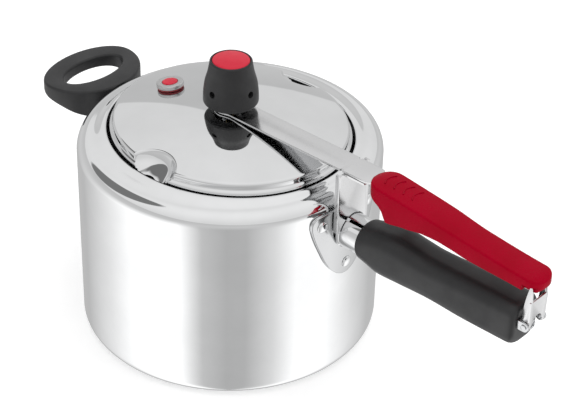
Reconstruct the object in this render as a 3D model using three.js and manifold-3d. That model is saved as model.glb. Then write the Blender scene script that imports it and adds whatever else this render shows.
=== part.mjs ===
/**
 * Stovetop pressure cooker whose oval lid closes from inside the pot.
 * Millimetres, +Z up. The origin is the centre of the flat base and the long handle runs along +X.
 */
import * as THREE from "three";
import { mergeVertices } from "three/addons/utils/BufferGeometryUtils.js";
import Module from "manifold-3d";

const wasm = await Module();
wasm.setup();

// ---------------------------------------------------------------- driving dimensions
const FIT = 0.3; // clearance between pieces that touch
const OVERCUT = 1; // how far a cutter runs past the face it opens
const RIM_SEGMENTS = 72;
const SMALL_SEGMENTS = 24;
const CORNER_STEPS = 5;

const POT = { radius: 102, wall: 2, base: 3, height: 142, baseCorner: 8, shoulder: 9.5 };
const MOUTH = { x: 85.3, y: 78.9, lipTop: 144.8 };
const SHEET = 1.5; // stainless strip of the arm, bridge and brackets

const LID = {
  x: 82.8,
  y: 74.8,
  wallTop: 149.2,
  edgeTop: 151,
  crown: 160.9,
  thickness: 2,
  flangeX: 92,
  flangeY: 86,
  flangeTop: 137.5,
};
const SCALLOP = { offCentre: 2.5, outsideEdge: 6.5, floorRadius: 15, topRadius: 19.2 };
const VENT = { shaft: 5, nozzle: 3, bore: 1.2, flange: 9, nutHeight: 3.4, top: 178 };
const RELIEF = { x: -51, y: -5, radius: 9.3, height: 2.8, stem: 4.2, plug: 5.2, plugStem: 2.4 };
const WEIGHT = { base: 166, height: 29.5, widest: 18.4, top: 14.1, capRadius: 12.4, holeHeight: 11.6 };

const HANDLE_Z = 115; // axis of the long handle
const FERRULE = { outer: 12.25, wall: 1.5, start: 104.4, end: 132 };
const GRIP = { start: 120, end: 244, width: 27.5 };
const BOLT_RADIUS = 3; // shank of the bolt that runs through the long handle
const RIVET_RADIUS = 2; // shank of every rivet in the pot's wall
const SHIELD = { thickness: 1.8, halfWidth: 30, top: 134, bottom: 80 };
const ARM = { halfWidth: 9.8, head: 11.5, tang: 7, level: 161.2, overRim: 162.2, tangEnd: 186 };
const BRIDGE = { face: 107.5, halfWidth: 14.5, foot: 118.5, depth: 3.6, arch: 12.9, tabEnd: 123 };
const LID_GRIP = { start: 124.5, end: 255.5, slope: -0.12, wall: 2.2 };
const LATCH = {
  pivotX: 249,
  pivotZ: HANDLE_Z + 3,
  top: 147.5,
  halfWidth: 8.2,
  eye: 3.2,
  gauge: 1.2,
  pin: 1.2,
};

const HELPER = {
  top: 136,
  level: 121.5,
  headSeat: 113,
  screw: 1.9,
  loop: { x: -137.7, tip: 23.3, root: 38, ry: 38.8 },
  hole: { x: -132.2, rx: 14.3, ry: 28 },
  root: { end: -105.5, bottom: 107 },
  tipDepth: 9.4,
  screwX: -112,
};

// Places of the fasteners that repeat.
const SHIELD_RIVETS = [
  { name: "shield_rivet_near", y: -21.5, z: 125 },
  { name: "shield_rivet_far", y: 21.5, z: 125 },
  { name: "shield_rivet_low", y: 0, z: 88.5 },
];
const HELPER_RIVETS = [
  { name: "helper_rivet_near", y: 19 },
  { name: "helper_rivet_far", y: -19 },
];
const GRIP_SCREWS = [
  { name: "lid_grip_screw_front", x: 148 },
  { name: "lid_grip_screw_rear", x: 177 },
];
const BEND_NOTCH = { x: 104, radius: 1.1 };
const ARM_BENDS = { overLid: 14, overRim: 100 };

const FINISH = {
  polishedAluminium: { color: 0xd9dbdd, roughness: 0.14, metalness: 1 },
  lidAluminium: { color: 0xcfd1d2, roughness: 0.1, metalness: 1 },
  stainless: { color: 0xc8c9ca, roughness: 0.22, metalness: 1 },
  zincSteel: { color: 0xb4b6b8, roughness: 0.35, metalness: 1 },
  brass: { color: 0xb8a070, roughness: 0.3, metalness: 1 },
  blackPhenolic: { color: 0x2d2e2f, roughness: 0.45, metalness: 0 },
  redNylon: { color: 0xa8001c, roughness: 0.38, metalness: 0 },
  capRed: { color: 0xd92a3f, roughness: 0.35, metalness: 0 },
  siliconeWhite: { color: 0xd8d5cf, roughness: 0.7, metalness: 0 },
  rubberBlack: { color: 0x1c1c1d, roughness: 0.6, metalness: 0 },
  siliconeRed: { color: 0x9c2f35, roughness: 0.65, metalness: 0 },
};

// ---------------------------------------------------------------- solid helpers
const lerp = THREE.MathUtils.lerp;
const radians = THREE.MathUtils.degToRad;

/** Points of an arc in a profile plane, from one angle to another (degrees). */
function arc(centreA, centreB, radius, from, to, steps = CORNER_STEPS) {
  return Array.from({ length: steps + 1 }, (_, i) => {
    const angle = radians(lerp(from, to, i / steps));
    return [centreA + radius * Math.cos(angle), centreB + radius * Math.sin(angle)];
  });
}

/** One horizontal oval ring of points. A ring without size is a single point on the axis. */
function oval(rx, ry, z, segments = RIM_SEGMENTS) {
  if (rx === 0) return [new THREE.Vector3(0, 0, z)];
  return Array.from({ length: segments }, (_, i) => {
    const angle = (2 * Math.PI * i) / segments;
    return new THREE.Vector3(rx * Math.cos(angle), ry * Math.sin(angle), z);
  });
}

/** One upright rounded rectangle across the X axis. */
function crossSection(x, centreZ, width, height, corner) {
  const y = width / 2 - corner;
  const z = height / 2 - corner;
  const corners = [
    [y, z, 0],
    [-y, z, 90],
    [-y, -z, 180],
    [y, -z, 270],
  ];
  return corners
    .flatMap(([cy, cz, start]) => arc(cy, cz, corner, start, start + 90))
    .map(([py, pz]) => new THREE.Vector3(x, py, centreZ + pz));
}

/** A closed skin over rings of points: end rings are filled, or joined to each other in a loop. */
function skin(rings, looped = false) {
  const positions = rings.flat().flatMap((point) => point.toArray());
  const starts = [];
  rings.reduce((start, ring) => {
    starts.push(start);
    return start + ring.length;
  }, 0);
  const index = [];
  const bridge = (lower, upper) => {
    const count = Math.max(rings[lower].length, rings[upper].length);
    for (let i = 0; i < count; i += 1) {
      const next = (i + 1) % count;
      const a = starts[lower] + (rings[lower].length > 1 ? i : 0);
      const b = starts[lower] + (rings[lower].length > 1 ? next : 0);
      const c = starts[upper] + (rings[upper].length > 1 ? next : 0);
      const d = starts[upper] + (rings[upper].length > 1 ? i : 0);
      if (a !== b) index.push(a, b, c);
      if (c !== d) index.push(a, c, d);
    }
  };
  for (let k = 1; k < rings.length; k += 1) bridge(k - 1, k);
  if (looped) bridge(rings.length - 1, 0);
  const cap = (ring, start, reversed) => {
    for (let i = 2; i < ring.length; i += 1) {
      index.push(start, ...(reversed ? [start + i, start + i - 1] : [start + i - 1, start + i]));
    }
  };
  if (!looped) {
    cap(rings[0], starts[0], true);
    cap(rings.at(-1), starts.at(-1), false);
  }
  return new THREE.BufferGeometry()
    .setAttribute("position", new THREE.Float32BufferAttribute(positions, 3))
    .setIndex(index);
}

/** A turned piece about +Z from [radius, z] points, lowest outside first. */
function turned(profile, { segments = SMALL_SEGMENTS, looped = false } = {}) {
  return skin(
    profile.map(([r, z]) => oval(r, r, z, segments)),
    looped,
  );
}

/** A plain round bar along +Z. */
function bar(radius, from, to, segments = SMALL_SEGMENTS) {
  return turned([[radius, from], [radius, to]], { segments });
}

/** A straight-sided outline through a list of points. */
function polygon(points) {
  return new THREE.Shape(points.map(([a, b]) => new THREE.Vector2(a, b)));
}

/** A flat outline in X and Y, extruded along +Z. */
function slab(shape, depth, curveSegments = 8) {
  return new THREE.ExtrudeGeometry(shape, { depth, bevelEnabled: false, curveSegments });
}

/** A box between two corners. */
function block([x0, y0, z0], [x1, y1, z1]) {
  const box = new THREE.BoxGeometry(x1 - x0, y1 - y0, z1 - z0);
  return box.translate((x0 + x1) / 2, (y0 + y1) / 2, (z0 + z1) / 2);
}

/** An outline drawn across the handle (Y to the right, Z up), extruded along +X from x. */
function acrossX(shape, x, depth) {
  return slab(shape, depth).rotateX(Math.PI / 2).rotateZ(Math.PI / 2).translate(x, 0, 0);
}

/** An outline drawn along the handle (X to the right, Z up), extruded evenly about y = 0. */
function alongHandle(shape, width, centreY = 0) {
  return slab(shape, width).rotateX(Math.PI / 2).translate(0, centreY + width / 2, 0);
}

/** The manifold solid of a geometry. */
function solid(geometry) {
  const bare = geometry.clone();
  bare.deleteAttribute("normal");
  bare.deleteAttribute("uv");
  const merged = mergeVertices(bare, 1e-4);
  return new wasm.Manifold(
    new wasm.Mesh({
      numProp: 3,
      vertProperties: new Float32Array(merged.attributes.position.array),
      triVerts: new Uint32Array(merged.index.array),
    }),
  );
}

/** A geometry that draws a manifold solid. */
function drawn(body) {
  const mesh = body.getMesh();
  return new THREE.BufferGeometry()
    .setAttribute("position", new THREE.BufferAttribute(mesh.vertProperties, 3))
    .setIndex(new THREE.BufferAttribute(mesh.triVerts, 1));
}

/** A geometry with others cut out of it. */
function cut(base, ...cutters) {
  return drawn(cutters.reduce((rest, cutter) => rest.subtract(solid(cutter)), solid(base)));
}

/** Geometries joined into one. */
function join(first, ...others) {
  return drawn(others.reduce((sum, other) => sum.add(solid(other)), solid(first)));
}

/** The space two geometries share. */
function shared(a, b) {
  return drawn(solid(a).intersect(solid(b)));
}

/** A named mesh in its own copy of a finish, with its facets shaded flat. */
function piece(name, geometry, finish) {
  const facets = geometry.index ? geometry.toNonIndexed() : geometry;
  facets.computeVertexNormals();
  const mesh = new THREE.Mesh(facets, new THREE.MeshStandardMaterial(finish));
  mesh.name = name;
  return mesh;
}

function group(...children) {
  return new THREE.Group().add(...children);
}

// ---------------------------------------------------------------- pot
/** Spun pot: rounded base, straight wall, shoulder, and a ring that rises to the oval mouth. */
function potBody() {
  const inner = POT.radius - POT.wall;
  const seat = POT.radius - POT.shoulder;
  const round = (profile) => profile.map(([r, z]) => oval(r, r, z));
  const lipRadius = POT.wall / 2;
  const lip = arc(lipRadius, MOUTH.lipTop - lipRadius, lipRadius, 90, 270, 4);
  return skin([
    oval(0, 0, 0),
    ...round(arc(POT.radius - POT.baseCorner, POT.baseCorner, POT.baseCorner, -90, 0)),
    ...round(arc(seat, POT.height - POT.shoulder, POT.shoulder, 0, 90)),
    ...lip.map(([offset, z]) => oval(MOUTH.x + offset, MOUTH.y + offset, z)),
    ...round(arc(seat, POT.height - POT.shoulder, POT.shoulder - POT.wall, 90, 0, 3)),
    ...round(arc(inner - POT.baseCorner + POT.base, POT.baseCorner, POT.baseCorner - POT.base, 0, -90, 3)),
    oval(0, 0, POT.base),
  ]);
}

/** A round-headed rivet along +Z: the head stands on z = 0 and the shank runs below it. */
function rivet(shank, head, headHeight, length) {
  return turned([
    [0, -length],
    [shank, -length],
    [shank, 0],
    [head, 0],
    [head * 0.85, headHeight * 0.6],
    [head * 0.45, headHeight * 0.95],
    [0, headHeight],
  ], { segments: 16 });
}

/** Turns and moves a rivet so that it enters the pot's wall at a height and an angle about +Z. */
function inWall(mesh, seatRadius, angle, height) {
  mesh.position.set(seatRadius * Math.cos(angle), seatRadius * Math.sin(angle), height);
  mesh.rotation.set(0, Math.PI / 2, angle, "ZYX");
  return mesh;
}

/** A plate bent to the pot's wall and trimmed to an outline drawn in Y and Z. */
function wallPlate(outline, thickness, side) {
  const innerRadius = POT.radius + FIT;
  const outerRadius = innerRadius + thickness;
  const sleeve = turned([
    [innerRadius, 0],
    [outerRadius, 0],
    [outerRadius, POT.height],
    [innerRadius, POT.height],
  ], { segments: 144, looped: true });
  const trim = acrossX(outline, side > 0 ? POT.radius * 0.5 : -outerRadius - OVERCUT, POT.radius);
  return shared(sleeve, trim);
}

// ---------------------------------------------------------------- long handle
/** Shield-shaped mounting plate: wide and square-shouldered at the top, tapering to a round foot. */
function shieldOutline() {
  const { halfWidth, top, bottom } = SHIELD;
  const outline = new THREE.Shape();
  outline.moveTo(0, bottom);
  outline.bezierCurveTo(14, bottom, 26, top - 28, halfWidth, top - 9);
  outline.quadraticCurveTo(halfWidth + 0.5, top - 2, halfWidth - 6, top - 1);
  outline.quadraticCurveTo(halfWidth / 2, top, 0, top);
  outline.quadraticCurveTo(-halfWidth / 2, top, -halfWidth + 6, top - 1);
  outline.quadraticCurveTo(-halfWidth - 0.5, top - 2, -halfWidth, top - 9);
  outline.bezierCurveTo(-26, top - 28, -14, bottom, 0, bottom);
  return outline;
}

/** Radial hole through the wall at a place given in Y and Z. */
function wallHole(radius, y, z) {
  const angle = Math.asin(y / POT.radius);
  const drill = bar(radius, POT.radius - 10, POT.radius + 12, 16).rotateY(Math.PI / 2);
  return drill.rotateZ(angle).translate(0, 0, z);
}

function handleShield() {
  const plate = wallPlate(shieldOutline(), SHIELD.thickness, 1);
  return cut(plate, ...SHIELD_RIVETS.map(({ y, z }) => wallHole(RIVET_RADIUS + FIT, y, z)));
}

function shieldRivets() {
  const seat = POT.radius + FIT + SHIELD.thickness + 0.15;
  return SHIELD_RIVETS.map(({ name, y, z }) =>
    inWall(
      piece(name, rivet(RIVET_RADIUS, 4, 1.7, POT.wall + SHIELD.thickness + 1.2), FINISH.polishedAluminium),
      seat,
      Math.asin(y / POT.radius),
      z,
    ),
  );
}

/** Tubular ferrule with a closed root and one slot along its upper near side. */
function ferrule() {
  const { outer, wall, start, end } = FERRULE;
  const length = end - start;
  const cup = turned([
    [0, 0],
    [outer + 0.6, 0],
    [outer + 0.6, 1.6],
    [outer, 2.2],
    [outer, length],
    [outer - wall, length],
    [outer - wall, 3.5],
    [0, 3.5],
  ], { segments: 40 });
  const boltHole = bar(BOLT_RADIUS + FIT, -OVERCUT, 4.5);
  const slotTurn = radians(-64);
  const slot = block([-1.2, outer - 3, 4.5], [1.2, outer + OVERCUT, length + OVERCUT]).rotateZ(slotTurn);
  return cut(cup, boltHole, slot).rotateY(Math.PI / 2);
}

/** Moulded body grip: a soft rounded bar with a fuller root and a shallow dip along its top. */
function bodyGrip() {
  const { start, end, width } = GRIP;
  const stations = [
    { x: start, w: width - 2, top: 127.8, bottom: 102.4, corner: 12.4 },
    { x: start + 1.5, w: width - 0.8, top: 128.4, bottom: 101.8, corner: 12.8 },
    { x: start + 7, w: width, top: 128.6, bottom: 100.4, corner: 12.6 },
    { x: start + 18, w: width + 0.8, top: 129, bottom: 98.6, corner: 11.6 },
    { x: start + 34, w: width + 0.2, top: 129.2, bottom: 99.4, corner: 10.6 },
    { x: start + 60, w: width - 0.4, top: 129.4, bottom: 100.4, corner: 10 },
    { x: start + 84, w: width - 0.2, top: 130.4, bottom: 99.8, corner: 9.6 },
    { x: start + 105, w: width, top: 131, bottom: 100.2, corner: 9.2 },
    { x: end - 5, w: width - 0.4, top: 130.8, bottom: 100.8, corner: 8.8 },
    { x: end - 1, w: width - 2.4, top: 129.8, bottom: 101.8, corner: 8 },
    { x: end, w: width - 5.4, top: 128.2, bottom: 103.2, corner: 6.6 },
  ];
  const shell = skin(
    stations.map(({ x, w, top, bottom, corner }) =>
      crossSection(x, (top + bottom) / 2, w, top - bottom, corner),
    ),
  );
  const socket = bar(FERRULE.outer + FIT, start - OVERCUT, FERRULE.end + FIT, 40);
  const boltWay = bar(BOLT_RADIUS + FIT, start, end + OVERCUT);
  const across = (geometry) => geometry.rotateY(Math.PI / 2).translate(0, 0, HANDLE_Z);
  return cut(shell, across(socket), across(boltWay));
}

/** Long machine screw that clamps the grip to the ferrule, with a cross recess in its head. */
function tieBolt() {
  const tail = FERRULE.start + 0.6;
  const headStart = GRIP.end + LATCH.gauge + 2 * FIT;
  const headHeight = 3.3;
  const blank = turned([
    [0, tail],
    [BOLT_RADIUS, tail],
    [BOLT_RADIUS, headStart],
    [4.4, headStart],
    [4.2, headStart + headHeight * 0.6],
    [BOLT_RADIUS, headStart + headHeight],
    [0, headStart + headHeight],
  ]);
  const recess = (turn) =>
    block([-0.5, -2.4, headStart + 1.6], [0.5, 2.4, headStart + headHeight + OVERCUT]).rotateZ(turn);
  const bolt = cut(blank, recess(Math.PI / 4), recess(-Math.PI / 4));
  return bolt.rotateY(Math.PI / 2).translate(0, 0, HANDLE_Z);
}

// ---------------------------------------------------------------- latch at the grip's end
/** Hole for the latch's pivot pins, right across the handle. */
function latchPinHole() {
  const { pivotX, pivotZ, halfWidth, pin } = LATCH;
  const drill = bar(pin + FIT, -halfWidth - 4, halfWidth + 4, 16);
  return drill.rotateX(Math.PI / 2).translate(pivotX, 0, pivotZ);
}

/** Bracket clamped on the end of the grip: a plate with two round ears that carry the pivot pins. */
function latchBracket() {
  const { pivotX, pivotZ, eye, gauge, halfWidth } = LATCH;
  const face = GRIP.end + FIT;
  const earInner = halfWidth - 1.6;
  const earOuter = earInner + gauge;
  const plate = block([face, -earOuter, HANDLE_Z - 7], [face + gauge, earOuter, pivotZ + 6]);
  const earShape = new THREE.Shape();
  earShape.moveTo(face, pivotZ - 6);
  earShape.lineTo(pivotX, pivotZ - eye - 1);
  earShape.absarc(pivotX, pivotZ, eye + 1, -Math.PI / 2, Math.PI / 2, false);
  earShape.lineTo(face, pivotZ + 6);
  earShape.closePath();
  const ears = [-1, 1].map((side) => alongHandle(earShape, gauge, side * (earInner + gauge / 2)));
  const boltHole = bar(BOLT_RADIUS + FIT, GRIP.end, face + gauge + OVERCUT);
  const hole = boltHole.rotateY(Math.PI / 2).translate(0, 0, HANDLE_Z);
  return cut(join(plate, ...ears), hole, latchPinHole());
}

/** Short pivot pin with a domed outer head, about its own centre along +Z. */
function pivotPin() {
  const { pin } = LATCH;
  const profile = [[0, -3.2], [pin, -3.2], [pin, 1.2], [2 * pin, 1.2], [1.4 * pin, 2], [0, 2.3]];
  return turned(profile, { segments: 16 });
}

/** Swinging clip: a tapered web with a V notch at its top and a bowed cheek on each side. */
function latchClip() {
  const { pivotX, pivotZ, top, halfWidth, eye, gauge } = LATCH;
  const webX = pivotX + 1.6;
  const cheekOuter = halfWidth - 1.6 - FIT;
  const boltRoom = 4.8;
  const web = new THREE.Shape();
  web.moveTo(-cheekOuter, pivotZ - 1.4);
  web.lineTo(-boltRoom, pivotZ - 1.4);
  web.absarc(0, pivotZ + 1.5, boltRoom, Math.PI, 0, true);
  web.lineTo(boltRoom, pivotZ - 1.4);
  web.lineTo(cheekOuter, pivotZ - 1.4);
  web.lineTo(cheekOuter, top - 3);
  web.lineTo(cheekOuter - 2, top - 2);
  web.lineTo(0, top - 9);
  web.lineTo(-cheekOuter + 2, top - 2);
  web.lineTo(-cheekOuter, top - 3);
  web.closePath();
  const cheek = new THREE.Shape();
  cheek.absarc(pivotX, pivotZ, eye, Math.PI * 0.9, Math.PI * 1.8, false);
  cheek.lineTo(webX + gauge, pivotZ);
  cheek.lineTo(webX + gauge, top);
  cheek.quadraticCurveTo(webX - 4, (top + pivotZ) / 2 + 8, pivotX - eye * 0.95, pivotZ + 1);
  const cheeks = [-1, 1].map((side) => alongHandle(cheek, gauge, side * (cheekOuter - gauge / 2)));
  const clip = cut(join(acrossX(web, webX, gauge), ...cheeks), latchPinHole());
  return clip.translate(-pivotX, 0, -pivotZ);
}

function latch() {
  const clip = piece("latch_clip", latchClip(), FINISH.stainless);
  clip.position.set(LATCH.pivotX, 0, LATCH.pivotZ);
  const pins = [
    { name: "latch_pin_near", side: -1 },
    { name: "latch_pin_far", side: 1 },
  ].map(({ name, side }) => {
    const pin = piece(name, pivotPin(), FINISH.zincSteel);
    pin.position.set(LATCH.pivotX, side * (LATCH.halfWidth - 0.9), LATCH.pivotZ);
    pin.rotation.x = (-side * Math.PI) / 2;
    return pin;
  });
  return group(clip, piece("latch_bracket", latchBracket(), FINISH.zincSteel), ...pins);
}

// ---------------------------------------------------------------- helper handle
/** Moulded loop handle: an oval ring that deepens towards the block which meets the pot. */
function helperHandle() {
  const { top, loop, hole, root, tipDepth, screwX } = HELPER;
  const outline = new THREE.Shape();
  outline.absellipse(loop.x, 0, loop.tip, loop.ry, Math.PI / 2, 1.5 * Math.PI);
  outline.absellipse(loop.x, 0, loop.root, loop.ry, -Math.PI / 2, Math.PI / 2);
  const body = slab(outline, top - root.bottom, 20).translate(0, 0, root.bottom);
  const side = polygon([
    [loop.x + loop.root, root.bottom],
    [loop.x + loop.tip - 4, root.bottom + 1.5],
    [loop.x + 8, top - 18],
    [loop.x - loop.tip + 9, top - tipDepth],
    [loop.x - loop.tip - OVERCUT, top - tipDepth + 0.6],
    [loop.x - loop.tip - OVERCUT, top],
    [loop.x + loop.root, top],
  ]);
  const blank = shared(body, alongHandle(side, 3 * loop.ry));
  const oval = new THREE.Shape().absellipse(hole.x, 0, hole.rx, hole.ry, 0, 2 * Math.PI);
  const fingerHole = slab(oval, top - root.bottom + 2 * OVERCUT, 28).translate(0, 0, root.bottom - OVERCUT);
  const wallSide = bar(-root.end, 0, POT.height, 144);
  const lug = helperLug(FIT);
  const screwWay = bar(HELPER.screw + 2 * FIT, 0, top - 8, 16).translate(screwX, 0, 0);
  const counterbore = bar(4.3, 0, HELPER.headSeat, 16).translate(screwX, 0, 0);
  return cut(blank, fingerHole, wallSide, lug, screwWay, counterbore);
}

/** Flat tongue of the helper bracket, grown by a margin on every side. */
function helperLug(margin) {
  return block(
    [HELPER.screwX - 4 - margin, -9 - margin, HELPER.level - SHEET / 2 - margin],
    [-POT.radius - FIT, 9 + margin, HELPER.level + SHEET / 2 + margin],
  );
}

/** Holes for the helper's rivets, on the far side of the pot from the long handle. */
function helperRivetHoles() {
  return HELPER_RIVETS.map(({ y }) => wallHole(RIVET_RADIUS + FIT, y, HELPER.level).rotateZ(Math.PI));
}

/** Bracket riveted on the wall: a bent plate with the tongue that the helper handle slides over. */
function helperBracket() {
  const outline = new THREE.Shape();
  outline.absarc(-19, HELPER.level, 6, Math.PI / 2, 1.5 * Math.PI);
  outline.absarc(19, HELPER.level, 6, 1.5 * Math.PI, 2.5 * Math.PI);
  outline.closePath();
  const plate = wallPlate(outline, SHEET, -1);
  const tongue = cut(helperLug(0), bar(POT.radius + FIT + SHEET / 2, 0, POT.height, 144));
  const screwHole = bar(HELPER.screw + FIT, 0, POT.height, 16).translate(HELPER.screwX, 0, 0);
  return cut(join(plate, tongue), screwHole, ...helperRivetHoles());
}

function helperRivets() {
  const seat = POT.radius + FIT + SHEET + 0.15;
  return HELPER_RIVETS.map(({ name, y }) =>
    inWall(
      piece(name, rivet(RIVET_RADIUS, 3.6, 1.2, POT.wall + SHEET + 1.2), FINISH.polishedAluminium),
      seat,
      Math.PI + Math.asin(y / POT.radius),
      HELPER.level,
    ),
  );
}

/** Self-tapping screw that enters the helper handle from below and passes its bracket's tongue. */
function helperScrew() {
  const headTop = HELPER.headSeat - FIT;
  return turned([
    [0, headTop - 2.4],
    [2.6, headTop - 2.4],
    [3.8, headTop - 1],
    [3.8, headTop],
    [HELPER.screw, headTop],
    [HELPER.screw, HELPER.level + 5],
    [0, HELPER.level + 6],
  ], { segments: 16 });
}

// ---------------------------------------------------------------- lid
/** Height of the domed lid at a fraction of the way from its centre to its edge. */
function domeHeight(fraction) {
  return LID.edgeTop + 0.4 + (LID.crown - LID.edgeTop - 0.4) * (1 - fraction * fraction);
}

/** The raised middle of the lid as a full solid, shrunk all round by a margin. */
function plateau(bottom, margin) {
  const ring = (inset, z) => oval(LID.x - inset - margin, LID.y - inset - margin, z - margin);
  const domeRing = (fraction) =>
    oval((LID.x - margin) * fraction, (LID.y - margin) * fraction, domeHeight(fraction) - margin);
  return skin([
    oval(LID.x - margin, LID.y - margin, bottom),
    ring(0.5, LID.wallTop),
    ring(0.9, LID.edgeTop - 0.7),
    ring(1.8, LID.edgeTop),
    ...[0.95, 0.82, 0.66, 0.48, 0.28].map(domeRing),
    oval(0, 0, LID.crown - margin),
  ]);
}

/** Cutters for the two bowl-shaped bites in the plateau's long sides, grown by a margin. */
function scallops(margin, floor) {
  return [-1, 1].map((side) =>
    skin([
      oval(SCALLOP.floorRadius + margin, SCALLOP.floorRadius + margin, floor, 48),
      oval(SCALLOP.topRadius + margin, SCALLOP.topRadius + margin, LID.edgeTop + 3, 48),
      oval(SCALLOP.topRadius + margin, SCALLOP.topRadius + margin, LID.crown, 48),
    ]).translate(-side * SCALLOP.offCentre, side * (LID.y + SCALLOP.outsideEdge), 0),
  );
}

/** A point frame on the dome: its place and the tilt of the lid there. */
function onDome(x, y) {
  const rise = LID.crown - LID.edgeTop - 0.4;
  const slopeX = (-2 * rise * x) / (LID.x * LID.x);
  const slopeY = (-2 * rise * y) / (LID.y * LID.y);
  const fraction = Math.hypot(x / LID.x, y / LID.y);
  const normal = new THREE.Vector3(-slopeX, -slopeY, 1).normalize();
  return {
    position: new THREE.Vector3(x, y, domeHeight(fraction)),
    quaternion: new THREE.Quaternion().setFromUnitVectors(new THREE.Vector3(0, 0, 1), normal),
  };
}

/** Drawn lid: flat flange inside the pot, raised plateau with two bites, and a domed top. */
function lidShell() {
  const { flangeX, flangeY, flangeTop, thickness } = LID;
  const flangeBottom = flangeTop - thickness;
  const flange = skin([
    oval(flangeX - 0.6, flangeY - 0.6, flangeBottom),
    oval(flangeX, flangeY, flangeBottom + 0.6),
    oval(flangeX, flangeY, flangeTop - 0.6),
    oval(flangeX - 0.6, flangeY - 0.6, flangeTop),
  ]);
  const outside = join(flange, cut(plateau(flangeBottom, 0), ...scallops(0, flangeTop)));
  const inside = cut(
    plateau(flangeBottom - OVERCUT, thickness),
    ...scallops(thickness, flangeBottom - 2 * OVERCUT),
  );
  const ventHole = bar(VENT.shaft + FIT, flangeBottom, LID.crown + OVERCUT);
  const relief = onDome(RELIEF.x, RELIEF.y);
  const reliefHole = bar(RELIEF.stem + FIT, -10, 10)
    .applyQuaternion(relief.quaternion)
    .translate(...relief.position.toArray());
  return cut(outside, inside, ventHole, reliefHole);
}

/** Soft gasket that lies on the lid's flange and meets the ring of the pot from below. */
function lidGasket() {
  const inset = 0.4;
  const rows = [
    [LID.x + inset, LID.y + inset, LID.flangeTop + FIT],
    [LID.flangeX - inset, LID.flangeY - inset, LID.flangeTop + FIT],
    [LID.flangeX - inset, LID.flangeY - inset, LID.flangeTop + 1.8],
    [LID.flangeX - 3, LID.flangeY - 3, LID.flangeTop + 3.2],
    [LID.x + 2.6, LID.y + 2.6, LID.flangeTop + 3.4],
    [LID.x + inset, LID.y + inset, LID.flangeTop + 2.2],
  ];
  return skin(
    rows.map(([rx, ry, z]) => oval(rx, ry, z)),
    true,
  );
}

// ---------------------------------------------------------------- vent, weight and relief valve
/** Vent pipe: a flange inside the lid, a threaded shaft, and the nozzle that the weight sits on. */
function ventPipe() {
  const flangeTop = LID.crown - LID.thickness - 1.4;
  const shoulder = ARM.level + SHEET + VENT.nutHeight + 1;
  return turned([
    [VENT.bore, flangeTop - 3],
    [VENT.flange, flangeTop - 3],
    [VENT.flange, flangeTop],
    [VENT.shaft, flangeTop],
    [VENT.shaft, shoulder],
    [VENT.nozzle + 0.6, shoulder + 1.4],
    [VENT.nozzle, VENT.top - 2.5],
    [VENT.bore + 0.6, VENT.top],
    [VENT.bore, VENT.top],
  ], { looped: true });
}

/** A flat ring about +Z. */
function washer(inner, outer, from, to, segments = SMALL_SEGMENTS) {
  return turned([[inner, from], [outer, from], [outer, to], [inner, to]], { segments, looped: true });
}

/** A six-sided nut about +Z with a round bore. */
function hexNut(bore, flats, from, to) {
  const corner = flats / Math.cos(Math.PI / 6);
  return cut(bar(corner, from, to, 6), bar(bore, from - OVERCUT, to + OVERCUT));
}

function ventSet() {
  const under = LID.crown - LID.thickness;
  const top = ARM.level + SHEET + FIT;
  return group(
    piece("vent_pipe", ventPipe(), FINISH.brass),
    piece("vent_seal", washer(VENT.shaft + FIT, 8.6, under - 1.1, under - 0.35), FINISH.siliconeWhite),
    piece("vent_nut", hexNut(VENT.shaft + FIT, 7.6, top, top + VENT.nutHeight), FINISH.zincSteel),
  );
}

/** Moulded weight about its own base: a waisted bell, bored from below, recessed for its cap. */
function weightBody() {
  const { height, widest, top, capRadius, holeHeight } = WEIGHT;
  const bell = turned([
    [11, 0],
    [widest - 1.8, 0],
    [widest, 1.8],
    [widest - 0.1, 6],
    [widest - 0.9, 14],
    [lerp(widest, top, 0.72), 22.5],
    [top, height],
    [top - 0.9, height + 1.2],
    [capRadius + FIT, height + 1.2],
    [capRadius + FIT, height - 1],
    [3, height - 1],
    [3, height - 4],
    [7.4, height - 4],
    [7.4, 15.6],
    [11, 15.6],
  ], { segments: 40, looped: true });
  const portLength = widest + OVERCUT;
  const port = (quarter) => {
    const drill = bar(2, 0, portLength, 12).rotateX(Math.PI / 2);
    return drill.rotateZ((quarter * Math.PI) / 2).translate(0, 0, holeHeight);
  };
  return cut(bell, ...[0, 1, 2, 3].map(port));
}

/** Shallow domed cap pressed in the top of the weight, with a stem into its hub. */
function weightCap() {
  const { height, capRadius } = WEIGHT;
  return turned([
    [0, height - 3.6],
    [2.6, height - 3.6],
    [2.6, height - 0.7],
    [capRadius, height - 0.7],
    [capRadius, height + 1],
    [capRadius * 0.8, height + 1.9],
    [capRadius * 0.45, height + 2.5],
    [0, height + 2.7],
  ], { segments: 32 });
}

/** Metal core with a bored foot that closes over the nozzle. */
function weightCore() {
  const seat = VENT.top - WEIGHT.base;
  return turned([
    [0, seat + 2.6],
    [VENT.nozzle + 0.6, seat - 1.5],
    [VENT.nozzle + 0.6, 6.5],
    [6, 5.5],
    [7, 6.5],
    [7, WEIGHT.height - 4.3],
    [0, WEIGHT.height - 4.3],
  ], { segments: 32 });
}

function weight() {
  const parts = group(
    piece("weight_body", weightBody(), FINISH.blackPhenolic),
    piece("weight_cap", weightCap(), FINISH.capRed),
    piece("weight_core", weightCore(), FINISH.zincSteel),
  );
  parts.position.z = WEIGHT.base;
  return parts;
}

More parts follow.
